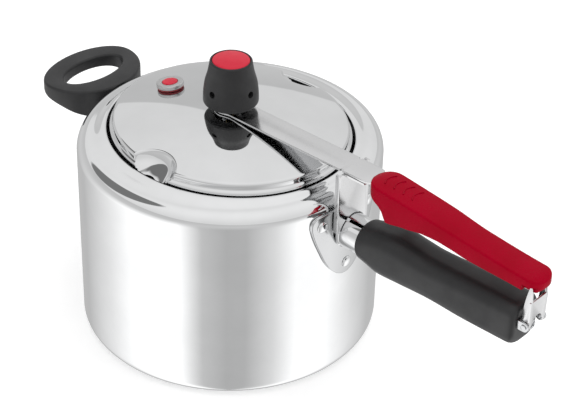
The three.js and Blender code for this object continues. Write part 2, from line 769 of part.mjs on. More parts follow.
/** Relief valve, built about a point on the lid's top with +Z out of the lid. */
function reliefValve() {
  const { radius, height, stem, plug, plugStem } = RELIEF;
  const seat = 1.2;
  const bodyBottom = seat + FIT;
  const bodyTop = bodyBottom + height;
  const body = turned([
    [plugStem + FIT, -6.4],
    [stem, -6.4],
    [stem, bodyBottom],
    [radius, bodyBottom],
    [radius, bodyTop - 0.9],
    [radius - 0.9, bodyTop],
    [plug + FIT, bodyTop],
    [plug + FIT, bodyTop - 1.2],
    [plugStem + FIT, bodyTop - 1.2],
  ], { segments: 32, looped: true });
  const plugProfile = [
    [0, -7],
    [plugStem, -7],
    [plugStem, bodyTop - 0.9],
    [plug, bodyTop - 0.9],
    [plug, bodyTop + 0.3],
    [plug * 0.6, bodyTop + 0.7],
    [0, bodyTop + 0.8],
  ];
  const place = onDome(RELIEF.x, RELIEF.y);
  const parts = group(
    piece("relief_body", body, FINISH.zincSteel),
    piece("relief_gasket", washer(stem + FIT, radius - 0.4, FIT, seat), FINISH.siliconeRed),
    piece("relief_plug", turned(plugProfile), FINISH.capRed),
    piece("relief_nut", hexNut(stem + FIT, 6.4, -6, -LID.thickness - 2 * FIT), FINISH.zincSteel),
  );
  parts.position.copy(place.position);
  parts.quaternion.copy(place.quaternion);
  return parts;
}

// ---------------------------------------------------------------- arm, bridge and lid grip
/** Height of the arm's underside along X: level over the lid, over the rim, then down with the grip. */
function armUnderside(x) {
  const { overLid, overRim } = ARM_BENDS;
  if (x > LID_GRIP.start) return ARM.overRim + LID_GRIP.slope * (x - LID_GRIP.start);
  return lerp(ARM.level, ARM.overRim, THREE.MathUtils.clamp((x - overLid) / (overRim - overLid), 0, 1));
}

/** Flat stainless arm: a round head on the vent, a straight strip over the rim, a tang in the grip. */
function lidArm() {
  const { head, halfWidth, tang, tangEnd } = ARM;
  const plan = new THREE.Shape();
  const neck = Math.sqrt(head * head - halfWidth * halfWidth);
  const neckAngle = Math.atan2(halfWidth, neck);
  plan.moveTo(tangEnd, -tang);
  plan.lineTo(tangEnd, tang);
  plan.lineTo(LID_GRIP.start + 2, tang);
  plan.lineTo(LID_GRIP.start - 2, halfWidth);
  plan.lineTo(neck, halfWidth);
  plan.absarc(0, 0, head, neckAngle, 2 * Math.PI - neckAngle, false);
  plan.lineTo(LID_GRIP.start - 2, -halfWidth);
  plan.lineTo(LID_GRIP.start + 2, -tang);
  plan.closePath();
  const bends = [-head - OVERCUT, ARM_BENDS.overLid, ARM_BENDS.overRim, LID_GRIP.start, tangEnd + OVERCUT];
  const profile = polygon([
    ...bends.map((x) => [x, armUnderside(x)]),
    ...bends.toReversed().map((x) => [x, armUnderside(x) + SHEET]),
  ]);
  const strip = shared(slab(plan, 60, 20).translate(0, 0, 130), alongHandle(profile, 60));
  const upright = (radius, x, y = 0) => bar(radius, 140, 170, 20).translate(x, y, 0);
  return cut(
    strip,
    upright(VENT.shaft + FIT, 0),
    ...[-1, 1].map((side) => upright(BEND_NOTCH.radius, BEND_NOTCH.x, side * (halfWidth - 0.4))),
    ...GRIP_SCREWS.map(({ x }) => upright(1.9 + FIT, x)),
  );
}

/** Bent bridge under the arm: a web that stands astride the ferrule, side strips and a top tab. */
function bridgePlate() {
  const { face, halfWidth, foot, depth, arch, tabEnd } = BRIDGE;
  const top = ARM.overRim - FIT;
  const web = new THREE.Shape();
  web.moveTo(-halfWidth, foot);
  web.lineTo(-halfWidth, top);
  web.lineTo(halfWidth, top);
  web.lineTo(halfWidth, foot);
  const archAngle = Math.asin((foot - HANDLE_Z) / arch);
  web.absarc(0, HANDLE_Z, arch, archAngle, Math.PI - archAngle, false);
  web.closePath();
  const strip = (side) =>
    block(
      [face - depth, side > 0 ? halfWidth - SHEET : -halfWidth, foot],
      [face, side > 0 ? halfWidth : -halfWidth + SHEET, top],
    );
  const tab = block([face - SHEET, -ARM.halfWidth, top - SHEET], [tabEnd, ARM.halfWidth, top]);
  return join(acrossX(web, face - SHEET, SHEET), strip(-1), strip(1), tab);
}

/** Straight-line reading of a table of [position, value] stops. */
function between(stops, at) {
  const next = Math.max(1, stops.findIndex(([position]) => position >= at));
  const [from, low] = stops[next - 1];
  const [to, high] = stops[next];
  return lerp(low, high, (at - from) / (to - from));
}

/** Moulded lid grip: a sloping channel, deep at its root, thin along its length, full at its end. */
function lidGrip() {
  const { start, end, wall } = LID_GRIP;
  const ridges = [[start, 166.4], [150, 164], [178, 161], [205, 157.4], [237, 154.2], [end, 153]];
  const halfWidths = [[start, 12.6], [150, 12.1], [178, 11.6], [205, 10.5], [end, 10.5]];
  const undersides = [
    [start, 158.5],
    [start + 5, 155.4],
    [start + 11, 153],
    [start + 14.7, 149.6],
    [start + 18.5, 143],
    [start + 30, 145.2],
    [start + 47, 148.4],
    [start + 55, 151],
    [start + 66, 152],
    [start + 78, 150.8],
    [start + 87, 148.6],
    [start + 103, 147],
    [end - 12, 145.4],
    [end - 4, 144.8],
    [end, 147],
  ];
  const round = (distance, radius) => {
    const left = 1 - Math.min(1, distance / radius);
    return Math.sqrt(1 - left * left);
  };
  const outerSection = (x) => {
    const nose = round(x - start + 0.5, 12);
    const tail = round(end - x + 0.4, 8);
    const half = between(halfWidths, x) * Math.min(nose, tail);
    const topZ = between(ridges, x) - 2.4 * (1 - nose) - 3 * (1 - tail);
    const height = topZ - between(undersides, x);
    return crossSection(x, topZ - height / 2, 2 * half, height, Math.min(2.8, height / 3, half / 2));
  };
  const noseStations = [0, 1, 2.5, 5, 8, 11, 14.7, 18.5];
  const tailStations = [8, 4, 2, 0.8, 0];
  const outside = skin([
    ...noseStations.map((along) => outerSection(start + along)),
    ...[30, 47, 55, 66, 78, 87, 103, 119].map((along) => outerSection(start + along)),
    ...tailStations.map((along) => outerSection(end - along)),
  ]);
  const cavity = skin(
    [start + wall, 138, 150, 178, 205, end - 14].map((x) => {
      const topZ = between(ridges, x) - wall;
      const bottom = 120;
      const nose = round(x - start, 12);
      const width = 2 * nose * (between(halfWidths, x) - wall);
      return crossSection(x, (topZ + bottom) / 2, width, topZ - bottom, 1);
    }),
  );
  const armSlot = block(
    [start - OVERCUT, -ARM.tang - 1, ARM.overRim - 1.2],
    [start + 8, ARM.tang + 1, ARM.overRim + SHEET + FIT],
  );
  const recessHalfWidth = LATCH.halfWidth - 0.8;
  const recessStart = LATCH.pivotX - 5;
  const latchRecess = block([recessStart, -recessHalfWidth, 140], [end + 5, recessHalfWidth, 150]);
  const underSkin = (x) => between(ridges, x) - wall / 2;
  const bosses = GRIP_SCREWS.map(({ x }) =>
    bar(3.8, armUnderside(x) + SHEET + 2 * FIT, underSkin(x), 20).translate(x, 0, 0),
  );
  const pilotHoles = GRIP_SCREWS.map(({ x }) => bar(1.5 + FIT, 140, underSkin(x), 16).translate(x, 0, 0));
  return cut(join(cut(outside, cavity, armSlot, latchRecess), ...bosses), ...pilotHoles);
}

/** Pan-head screw that holds the arm's tang up against a boss of the lid grip. */
function gripScrew() {
  return turned([
    [0, -2],
    [2.2, -2],
    [3.4, -1.1],
    [3.4, -0.2],
    [1.5, -0.2],
    [1.5, SHEET + 1.3],
    [0, SHEET + 1.6],
  ], { segments: 16 });
}

function armSet() {
  const screws = GRIP_SCREWS.map(({ name, x }) => {
    const mesh = piece(name, gripScrew(), FINISH.zincSteel);
    mesh.position.set(x, 0, armUnderside(x) - FIT);
    return mesh;
  });
  return group(
    piece("lid_arm", lidArm(), FINISH.stainless),
    piece("bridge_plate", bridgePlate(), FINISH.stainless),
    piece("lid_grip", lidGrip(), FINISH.redNylon),
    ...screws,
  );
}

// ---------------------------------------------------------------- assembly
function pot() {
  const holes = [
    ...SHIELD_RIVETS.map(({ y, z }) => wallHole(RIVET_RADIUS + FIT, y, z)),
    ...helperRivetHoles(),
  ];
  return piece("pot_body", cut(potBody(), ...holes), FINISH.polishedAluminium);
}

function longHandle() {
  const tube = piece("handle_ferrule", ferrule(), FINISH.polishedAluminium);
  tube.position.set(FERRULE.start, 0, HANDLE_Z);
  return group(
    piece("handle_shield", handleShield(), FINISH.polishedAluminium),
    ...shieldRivets(),
    tube,
    piece("body_grip", bodyGrip(), FINISH.blackPhenolic),
    piece("tie_bolt", tieBolt(), FINISH.zincSteel),
    latch(),
  );
}

function helper() {
  const screw = piece("helper_screw", helperScrew(), FINISH.zincSteel);
  screw.position.x = HELPER.screwX;
  return group(
    piece("helper_handle", helperHandle(), FINISH.blackPhenolic),
    piece("helper_bracket", helperBracket(), FINISH.zincSteel),
    ...helperRivets(),
    screw,
  );
}

function lid() {
  return group(
    piece("lid_shell", lidShell(), FINISH.lidAluminium),
    piece("lid_gasket", lidGasket(), FINISH.rubberBlack),
    ventSet(),
    reliefValve(),
    weight(),
    armSet(),
  );
}

export default group(pot(), longHandle(), helper(), lid());
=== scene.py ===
"""Visual model of a stovetop pressure cooker whose oval lid closes from inside the pot.

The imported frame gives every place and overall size. The classes below hold the sizes of the
shapes in millimetres, and meshes are turned into metres when they are made.
"""
import logging
import math
from dataclasses import dataclass
from enum import Enum
from typing import Callable, ClassVar, Sequence

import bmesh
import bpy
from mathutils import Matrix, Vector


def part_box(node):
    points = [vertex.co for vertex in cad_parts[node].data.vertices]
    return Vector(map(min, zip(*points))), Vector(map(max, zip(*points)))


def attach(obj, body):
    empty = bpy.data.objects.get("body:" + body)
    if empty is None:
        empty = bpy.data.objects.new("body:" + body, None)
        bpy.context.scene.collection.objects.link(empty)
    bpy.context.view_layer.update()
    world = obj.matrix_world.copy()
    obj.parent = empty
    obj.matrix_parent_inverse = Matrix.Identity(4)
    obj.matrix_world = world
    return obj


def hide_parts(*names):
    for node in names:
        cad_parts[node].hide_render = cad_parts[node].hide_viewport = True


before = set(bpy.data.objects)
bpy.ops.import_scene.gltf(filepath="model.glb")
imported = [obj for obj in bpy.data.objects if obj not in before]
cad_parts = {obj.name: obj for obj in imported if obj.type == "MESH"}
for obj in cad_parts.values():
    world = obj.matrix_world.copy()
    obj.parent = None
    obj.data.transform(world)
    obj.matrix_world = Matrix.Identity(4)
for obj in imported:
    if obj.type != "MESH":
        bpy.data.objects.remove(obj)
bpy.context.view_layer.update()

MM = 0.001
FIT = 0.3
CREASE_DEG = 38.0
LOG = logging.getLogger("pressure_cooker")

Point = tuple[float, float, float]
Profile = list[tuple[float, float]]


# ---------------------------------------------------------------- small sums
def lerp(low: float, high: float, share: float) -> float:
    """Value at a share of the way from low to high."""
    return low + (high - low) * share


def clamp(value: float, low: float = 0.0, high: float = 1.0) -> float:
    """Value held between two limits."""
    return max(low, min(high, value))


def ease(share: float) -> float:
    """Share of a soft start and stop."""
    share = clamp(share)
    return share * share * (3 - 2 * share)


def smooth_min(a: float, b: float, blend: float) -> float:
    """Smaller of two lengths, with the corner between them rounded over a blend length."""
    mix = clamp(0.5 + 0.5 * (b - a) / blend)
    return lerp(b, a, mix) - blend * mix * (1 - mix)


def steps(count: int, low: float = 0.0, high: float = 1.0) -> list[float]:
    """Evenly spaced values from low to high, both included."""
    return [lerp(low, high, i / (count - 1)) for i in range(count)]


def arc(centre_a: float, centre_b: float, radius: float, start: float, end: float, count: int = 7) -> Profile:
    """Points of an arc in a profile plane.

    Args:
        centre_a: First coordinate of the centre.
        centre_b: Second coordinate of the centre.
        radius: Radius of the arc.
        start: Start angle in degrees.
        end: End angle in degrees.
        count: How many points.

    Returns:
        The points in order.
    """
    angles = [math.radians(angle) for angle in steps(count, start, end)]
    return [(centre_a + radius * math.cos(t), centre_b + radius * math.sin(t)) for t in angles]


class SmoothTable:
    """A smooth curve through given stops, without overshoot."""

    def __init__(self, stops: Sequence[tuple[float, float]]) -> None:
        """Stores the stops and works out a slope at each.

        Args:
            stops: Pairs of place and value, in rising order of place.
        """
        self.places = [place for place, _ in stops]
        self.values = [value for _, value in stops]
        rises = [
            (b - a) / (q - p)
            for a, b, p, q in zip(self.values, self.values[1:], self.places, self.places[1:])
        ]
        inner = [0.0 if a * b <= 0 else 2 * a * b / (a + b) for a, b in zip(rises, rises[1:])]
        self.slopes = [rises[0], *inner, rises[-1]]

    def __call__(self, place: float) -> float:
        """Value of the curve at a place."""
        place = clamp(place, self.places[0], self.places[-1])
        k = max(i for i in range(len(self.places) - 1) if self.places[i] <= place)
        gap = self.places[k + 1] - self.places[k]
        t = (place - self.places[k]) / gap
        rise = (2 * t**3 - 3 * t**2 + 1) * self.values[k] + (3 * t**2 - 2 * t**3) * self.values[k + 1]
        lean = (t**3 - 2 * t**2 + t) * self.slopes[k] + (t**3 - t**2) * self.slopes[k + 1]
        return rise + lean * gap


def box_mm(node: str) -> tuple[Vector, Vector]:
    """Lowest and highest corner of a frame node, in millimetres."""
    low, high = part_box(node)
    return low / MM, high / MM


# ---------------------------------------------------------------- mesh making
def tidy(piece: bpy.types.Object, crease_deg: float = CREASE_DEG) -> bpy.types.Object:
    """Merges doubles, turns faces outwards and shades smooth up to a crease angle.

    Args:
        piece: The mesh object.
        crease_deg: Edges that turn by more than this stay sharp.

    Returns:
        The same object.
    """
    mesh = bmesh.new()
    mesh.from_mesh(piece.data)
    bmesh.ops.remove_doubles(mesh, verts=mesh.verts, dist=2e-6)
    bmesh.ops.recalc_face_normals(mesh, faces=mesh.faces)
    limit = math.radians(crease_deg)
    for face in mesh.faces:
        face.smooth = True
    for edge in mesh.edges:
        edge.smooth = len(edge.link_faces) == 2 and edge.calc_face_angle(0) < limit
    mesh.to_mesh(piece.data)
    mesh.free()
    return piece


def mesh_object(name: str, points: Sequence[Point], faces: Sequence[Sequence[int]] = ()) -> bpy.types.Object:
    """Makes and links a mesh object in metres from points in millimetres.

    Args:
        name: The object's name.
        points: Corners in millimetres.
        faces: Corner numbers of each face; none leaves loose points.

    Returns:
        The object.
    """
    data = bpy.data.meshes.new(name)
    data.from_pydata([Vector(point) * MM for point in points], [], faces)
    piece = bpy.data.objects.new(name, data)
    bpy.context.scene.collection.objects.link(piece)
    return piece


def skin(name: str, rings: Sequence[Sequence[Point]], looped: bool = False) -> bpy.types.Object:
    """Makes a closed skin over rings that all have the same number of points.

    Args:
        name: The object's name.
        rings: The rings in order.
        looped: True joins the last ring to the first; False fills both end rings.

    Returns:
        The object.
    """
    count = len(rings[0])
    rows = len(rings)
    faces: list[tuple[int, ...]] = []
    for row in range(rows if looped else rows - 1):
        low = row * count
        high = ((row + 1) % rows) * count
        faces += [(low + i, low + (i + 1) % count, high + (i + 1) % count, high + i) for i in range(count)]
    if not looped:
        faces.append(tuple(reversed(range(count))))
        faces.append(tuple(range((rows - 1) * count, rows * count)))
    return tidy(mesh_object(name, [point for ring in rings for point in ring], faces))


def prism(name: str, outline: Profile, low: float, high: float, lift: Callable) -> bpy.types.Object:
    """Extrudes a flat outline between two depths.

    Args:
        name: The object's name.
        outline: Points of the outline.
        low: First depth.
        high: Second depth.
        lift: Turns (a, b, depth) into a point in space.

    Returns:
        The object.
    """
    return skin(name, [[lift(a, b, depth) for a, b in outline] for depth in (low, high)])


def block(name: str, low: Point, high: Point) -> bpy.types.Object:
    """Makes a box between two corners."""
    outline = [(low[0], low[1]), (high[0], low[1]), (high[0], high[1]), (low[0], high[1])]
    return prism(name, outline, low[2], high[2], lambda a, b, depth: (a, b, depth))


def rod(name: str, radius: float, start: Vector, end: Vector, sides: int = 40) -> bpy.types.Object:
    """Makes a round bar between two points.

    Args:
        name: The object's name.
        radius: The bar's radius.
        start: Centre of one end.
        end: Centre of the other end.
        sides: How many facets it has round its axis.

    Returns:
        The object.
    """
    turn = (end - start).to_track_quat("Z", "Y")
    circle = [Vector((x, y, 0)) for x, y in arc(0, 0, radius, 0, 360 * (1 - 1 / sides), sides)]
    return skin(name, [[tuple(centre + turn @ spot) for spot in circle] for centre in (start, end)])


def flatten(piece: bpy.types.Object) -> bpy.types.Object:
    """Turns a piece with modifiers into a plain mesh.

    Args:
        piece: The mesh object.

    Returns:
        The same object.
    """
    graph = bpy.context.evaluated_depsgraph_get()
    plain = bpy.data.meshes.new_from_object(piece.evaluated_get(graph))
    piece.modifiers.clear()
    piece.data = plain
    return piece


def combine(piece: bpy.types.Object, tools: Sequence[bpy.types.Object], operation: str) -> bpy.types.Object:
    """Cuts or joins solids, and removes the tools.

    Args:
        piece: The solid that stays.
        tools: The solids that cut it or join it.
        operation: DIFFERENCE, UNION or INTERSECT.

    Returns:
        The piece.
    """
    for tool in tools:
        modifier = piece.modifiers.new("combine", "BOOLEAN")
        modifier.operation = operation
        modifier.solver = "EXACT"
        modifier.object = tool
        flatten(piece)
        bpy.data.objects.remove(tool)
    return tidy(piece)


def cut(piece: bpy.types.Object, *tools: bpy.types.Object) -> bpy.types.Object:
    """Cuts tools out of a piece."""
    return combine(piece, tools, "DIFFERENCE")


def join(piece: bpy.types.Object, *others: bpy.types.Object) -> bpy.types.Object:
    """Joins solids into one."""
    return combine(piece, others, "UNION")


def round_edges(piece: bpy.types.Object, width: float, segments: int = 3) -> bpy.types.Object:
    """Rounds every sharp edge of a piece.

    Args:
        piece: The mesh object.
        width: Width of the rounding in millimetres.
        segments: How many facets it has.

    Returns:
        The piece.
    """
    modifier = piece.modifiers.new("round", "BEVEL")
    modifier.width = width * MM
    modifier.segments = segments
    modifier.limit_method = "ANGLE"
    modifier.angle_limit = math.radians(CREASE_DEG)
    modifier.use_clamp_overlap = True
    return tidy(flatten(piece))


def placed(piece: bpy.types.Object, matrix: Matrix) -> bpy.types.Object:
    """Moves a piece's mesh.

    Args:
        piece: The mesh object.
        matrix: The move, in millimetres.

    Returns:
        The same object.
    """
    metres = matrix.copy()
    metres.translation = matrix.translation * MM
    piece.data.transform(metres)
    return piece


def rounded_section(width: float, height: float, radii: tuple[float, float], count: int = 6) -> Profile:
    """Rounded rectangle about its centre.

    Args:
        width: Full width.
        height: Full height.
        radii: Radius of the upper and of the lower corners.
        count: Points in each corner.

    Returns:
        Points anticlockwise from the right side.
    """
    half_width = width / 2
    half_height = height / 2
    upper = min(radii[0], half_width * 0.98, half_height * 0.98)
    lower = min(radii[1], half_width * 0.98, half_height * 0.98)
    corners = [
        (half_width - upper, half_height - upper, upper, 0),
        (-half_width + upper, half_height - upper, upper, 90),
        (-half_width + lower, -half_height + lower, lower, 180),
        (half_width - lower, -half_height + lower, lower, 270),
    ]
    return [point for a, b, r, start in corners for point in arc(a, b, r, start, start + 90, count)]


# ---------------------------------------------------------------- node trees
class Board:
    """Short way to put nodes in a tree and wire them."""

    def __init__(self, tree: bpy.types.NodeTree) -> None:
        """Keeps the tree that is being wired."""
        self.tree = tree

    def add(self, kind: str, inputs: dict | None = None, **settings: object) -> bpy.types.Node:
        """Adds a node.

        Args:
            kind: The node's type name.
            inputs: Socket name or number to a value, or to another node's output to link.
            **settings: Properties of the node.

        Returns:
            The node.
        """
        node = self.tree.nodes.new(kind)
        for name, value in settings.items():
            setattr(node, name, value)
        for key, value in (inputs or {}).items():
            self.feed(node.inputs[key], value)
        return node

    def feed(self, socket: bpy.types.NodeSocket, value: object) -> None:
        """Links an output to a socket, or sets the socket's own value.

        Args:
            socket: The input.
            value: An output to link, or a plain value.
        """
        if isinstance(value, bpy.types.NodeSocket):
            self.tree.links.new(value, socket)
        else:
            socket.default_value = value

    def sum(self, operation: str, *values: object) -> bpy.types.NodeSocket:
        """Output of a Math node over values or sockets."""
        return self.add("ShaderNodeMath", dict(enumerate(values)), operation=operation).outputs[0]

    def vector(self, **axes: object) -> bpy.types.NodeSocket:
        """Output of a vector put together from X, Y and Z."""
        return self.add("ShaderNodeCombineXYZ", axes).outputs[0]

    def axes(self, vector: bpy.types.NodeSocket) -> bpy.types.bpy_prop_collection:
        """Outputs X, Y and Z of a vector."""
        return self.add("ShaderNodeSeparateXYZ", {0: vector}).outputs

    def noise(
        self, space: object, scale: float, detail: float, roughness: float = 0.5
    ) -> bpy.types.NodeSocket:
        """Output of a noise, from 0 to 1."""
        inputs = {"Vector": space, "Scale": scale, "Detail": detail, "Roughness": roughness}
        return self.add("ShaderNodeTexNoise", inputs).outputs["Fac"]

    def remap(
        self, value: object, source: tuple[float, float], target: tuple[float, float] = (0.0, 1.0)
    ) -> bpy.types.NodeSocket:
        """Output of a value carried from one span to another, and held inside it.

        Args:
            value: The socket.
            source: Low and high end of the span that the value comes from.
            target: Low and high end of the span that it goes to.

        Returns:
            The carried value.
        """
        names = ("From Min", "From Max", "To Min", "To Max")
        inputs = {"Value": value, **dict(zip(names, (*source, *target)))}
        return self.add("ShaderNodeMapRange", inputs).outputs[0]

    def blend(self, share: bpy.types.NodeSocket, first: object, second: object) -> bpy.types.NodeSocket:
        """Mix of two colours.

        Args:
            share: Share of the second colour.
            first: A colour or a colour output.
            second: A colour or a colour output.

        Returns:
            The mixed colour.
        """
        mix = self.add("ShaderNodeMix", {"Factor": share}, data_type="RGBA")
        for name, colour in (("A", first), ("B", second)):
            plain = isinstance(colour, tuple)
            self.feed(mix.inputs[name], (*colour, 1.0) if plain else colour)
        return mix.outputs["Result"]


class GeometryTree:
    """A geometry node tree with named inputs, made once and used on many pieces."""

    def __init__(self, name: str, inputs: dict[str, str]) -> None:
        """Makes the empty tree and its sockets.

        Args:
            name: The tree's name.
            inputs: Name to socket type of each input after the geometry.
        """
        self.tree = bpy.data.node_groups.new(name, "GeometryNodeTree")
        face = self.tree.interface
        face.new_socket("Geometry", in_out="INPUT", socket_type="NodeSocketGeometry")
        sockets = {"Material": "NodeSocketMaterial", **inputs}
        self.keys = {
            label: face.new_socket(label, in_out="INPUT", socket_type=kind).identifier
            for label, kind in sockets.items()
        }
        face.new_socket("Geometry", in_out="OUTPUT", socket_type="NodeSocketGeometry")
        self.board = Board(self.tree)
        self.given = self.board.add("NodeGroupInput").outputs

    def end(self, geometry: bpy.types.NodeSocket) -> None:
        """Ends the tree with real geometry in its material.

        Args:
            geometry: The output that holds the finished shape.
        """
        real = self.board.add("GeometryNodeRealizeInstances", {0: geometry})
        painted = self.board.add(
            "GeometryNodeSetMaterial", {"Geometry": real.outputs[0], "Material": self.given["Material"]}
        )
        self.board.add("NodeGroupOutput", {0: painted.outputs[0]})

    def make(
        self, piece: bpy.types.Object, material: bpy.types.Material, **values: object
    ) -> bpy.types.Object:
        """Runs the tree on a piece and keeps the result as a plain mesh.

        Args:
            piece: The object whose mesh goes in.
            material: The material that the tree sets.
            **values: Input values, with spaces in their names written as underscores.

        Returns:
            The piece.
        """
        modifier = piece.modifiers.new(self.tree.name, "NODES")
        modifier.node_group = self.tree
        modifier[self.keys["Material"]] = material
        for label, value in values.items():
            modifier[self.keys[label.replace("_", " ")]] = value
        piece.data.update()
        return tidy(flatten(piece))


class Spinner(GeometryTree):
    """Spins a profile about +Z, and draws the rows marked oval out into an oval."""

    def __init__(self) -> None:
        """Wires the tree: a grid whose rows are the profile's points and whose columns are angles."""
        super().__init__(
            "spin_profile",
            {"Segments": "NodeSocketInt", "Oval X": "NodeSocketFloat", "Oval Y": "NodeSocketFloat"},
        )
        board = self.board
        profile = self.given["Geometry"]
        count = board.add("GeometryNodeAttributeDomainSize", {"Geometry": profile}).outputs["Point Count"]
        columns = board.sum("ADD", self.given["Segments"], 1.0)
        grid = board.add("GeometryNodeMeshGrid", {"Vertices X": columns, "Vertices Y": count})
        here = board.add("GeometryNodeInputPosition").outputs[0]
        place = board.axes(here)
        turn = board.sum("MULTIPLY", board.sum("ADD", place["X"], 0.5), 2 * math.pi)
        share = board.sum("ADD", place["Y"], 0.5)
        row = board.sum("ROUND", board.sum("MULTIPLY", share, board.sum("SUBTRACT", count, 1.0)))
        read = board.add(
            "GeometryNodeSampleIndex",
            {"Geometry": profile, "Index": row},
            data_type="FLOAT_VECTOR",
            domain="POINT",
        )
        board.feed(read.inputs["Value"], here)
        point = board.axes(read.outputs[0])
        mark = board.add("GeometryNodeInputNamedAttribute", {"Name": "oval"}, data_type="FLOAT")
        oval = board.add(
            "GeometryNodeSampleIndex", {"Geometry": profile, "Index": row}, data_type="FLOAT", domain="POINT"
        )
        board.feed(oval.inputs["Value"], mark.outputs["Attribute"])

        def reach(growth: str) -> bpy.types.NodeSocket:
            """Radius along one axis, with its share of the oval's growth."""
            return board.sum("ADD", point["X"], board.sum("MULTIPLY", oval.outputs[0], self.given[growth]))

        spot = board.vector(
            X=board.sum("MULTIPLY", reach("Oval X"), board.sum("COSINE", turn)),
            Y=board.sum("MULTIPLY", reach("Oval Y"), board.sum("SINE", turn)),
            Z=point["Z"],
        )
        bent = board.add("GeometryNodeSetPosition", {"Geometry": grid.outputs["Mesh"], "Position": spot})
        merged = board.add("GeometryNodeMergeByDistance", {"Geometry": bent.outputs[0], "Distance": 2e-6})
        self.end(merged.outputs[0])

    def spin(
        self,
        name: str,
        profile: Profile,
        material: bpy.types.Material,
        segments: int = 96,
        oval: tuple[float, float] = (0.0, 0.0),
        marks: Sequence[float] | None = None,
    ) -> bpy.types.Object:
        """Spins one piece.

        Args:
            name: The piece's name.
            profile: Radius and height of each point, from the axis and back to it, or closed on itself.
            material: Its material.
            segments: Facets round the axis.
            oval: How far the fully marked rows grow along X and along Y.
            marks: For each profile point, its share of that growth.

        Returns:
            The finished piece.
        """
        piece = mesh_object(name, [(r, 0, z) for r, z in profile])
        attribute = piece.data.attributes.new("oval", "FLOAT", "POINT")
        attribute.data.foreach_set("value", list(marks or [0.0] * len(profile)))
        return self.make(piece, material, Segments=segments, Oval_X=oval[0] * MM, Oval_Y=oval[1] * MM)


class RivetSetter(GeometryTree):
    """Sets a domed rivet at every point of a mesh, facing along the point's attribute."""

    def __init__(self) -> None:
        """Wires the tree: half a flattened ball on a shank, copied to each point."""
        super().__init__(
            "set_rivets",
            {
                "Head Radius": "NodeSocketFloat",
                "Head Height": "NodeSocketFloat",
                "Shank Radius": "NodeSocketFloat",
                "Shank Length": "NodeSocketFloat",
            },
        )
        board = self.board
        head, height = self.given["Head Radius"], self.given["Head Height"]
        ball = board.add("GeometryNodeMeshUVSphere", {"Segments": 40, "Rings": 24, "Radius": 1.0})
        scale = board.vector(X=head, Y=head, Z=height)
        dome = board.add("GeometryNodeTransform", {"Geometry": ball.outputs["Mesh"], "Scale": scale})
        half = board.add("GeometryNodeMeshCube", {"Size": (1.0, 1.0, 1.0)})
        upwards = (0.0, 0.0, 0.5)
        above = board.add("GeometryNodeTransform", {"Geometry": half.outputs["Mesh"], "Translation": upwards})
        upper = board.add("GeometryNodeMeshBoolean", operation="INTERSECT", solver="EXACT")
        for part in (dome, above):
            board.tree.links.new(part.outputs[0], upper.inputs["Mesh 2"])
        shank = board.add(
            "GeometryNodeMeshCylinder",
            {"Vertices": 32, "Radius": self.given["Shank Radius"], "Depth": self.given["Shank Length"]},
        )
        drop = board.vector(Z=board.sum("MULTIPLY", self.given["Shank Length"], -0.49))
        sunk = board.add("GeometryNodeTransform", {"Geometry": shank.outputs["Mesh"], "Translation": drop})
        whole = board.add("GeometryNodeMeshBoolean", operation="UNION", solver="EXACT")
        for part in (upper, sunk):
            board.tree.links.new(part.outputs[0], whole.inputs["Mesh 2"])
        facing = board.add("GeometryNodeInputNamedAttribute", {"Name": "facing"}, data_type="FLOAT_VECTOR")
        outwards = {"Vector": facing.outputs["Attribute"]}
        aim = board.add("FunctionNodeAlignRotationToVector", outwards, axis="Z")
        copies = board.add(
            "GeometryNodeInstanceOnPoints",
            {"Points": self.given["Geometry"], "Instance": whole.outputs[0], "Rotation": aim.outputs[0]},
        )
        self.end(copies.outputs[0])

    def set(
        self,
        name: str,
        spots: Sequence[tuple[Vector, Vector]],
        material: bpy.types.Material,
        head: tuple[float, float],
        shank: tuple[float, float],
    ) -> bpy.types.Object:
        """Makes one piece that holds every rivet of a set.

        Args:
            name: The piece's name.
            spots: Seat and outward direction of each rivet.
            material: Its material.
            head: Radius and height of the head.
            shank: Radius and length of the shank.

        Returns:
            The finished piece.
        """
        piece = mesh_object(name, [seat for seat, _ in spots])
        attribute = piece.data.attributes.new("facing", "FLOAT_VECTOR", "POINT")
        attribute.data.foreach_set("vector", [value for _, facing in spots for value in facing])
        return self.make(
            piece,
            material,
            Head_Radius=head[0] * MM,
            Head_Height=head[1] * MM,
            Shank_Radius=shank[0] * MM,
            Shank_Length=shank[1] * MM,
        )


class RibRow(GeometryTree):
    """Row of thin bowed ribs, each an arc across the grip."""

    def __init__(self) -> None:
        """Wires the tree: one bowed rib, copied along a sloping line."""
        super().__init__(
            "finger_ribs",
            {
                "Count": "NodeSocketInt",
                "Pitch": "NodeSocketVector",
                "Half Width": "NodeSocketFloat",
                "Bow": "NodeSocketFloat",
                "Thickness": "NodeSocketFloat",
            },
        )
        board = self.board
        start = board.vector(Y=board.sum("MULTIPLY", self.given["Half Width"], -1.0))
        middle = board.vector(X=board.sum("MULTIPLY", self.given["Bow"], -2.0))
        end = board.vector(Y=self.given["Half Width"])
        bow = board.add(
            "GeometryNodeCurveQuadraticBezier",
            {"Resolution": 24, "Start": start, "Middle": middle, "End": end},
        )
        round_bar = board.add("GeometryNodeCurvePrimitiveCircle", {"Resolution": 10})
        board.feed(round_bar.inputs["Radius"], self.given["Thickness"])
        rib = board.add(
            "GeometryNodeCurveToMesh",
            {"Curve": bow.outputs[0], "Profile Curve": round_bar.outputs[0], "Fill Caps": True},
        )
        line = board.add(
            "GeometryNodeMeshLine",
            {"Count": self.given["Count"], "Offset": self.given["Pitch"]},
            mode="OFFSET",
        )
        copies = board.add(
            "GeometryNodeInstanceOnPoints", {"Points": line.outputs[0], "Instance": rib.outputs[0]}
        )
        self.end(copies.outputs[0])


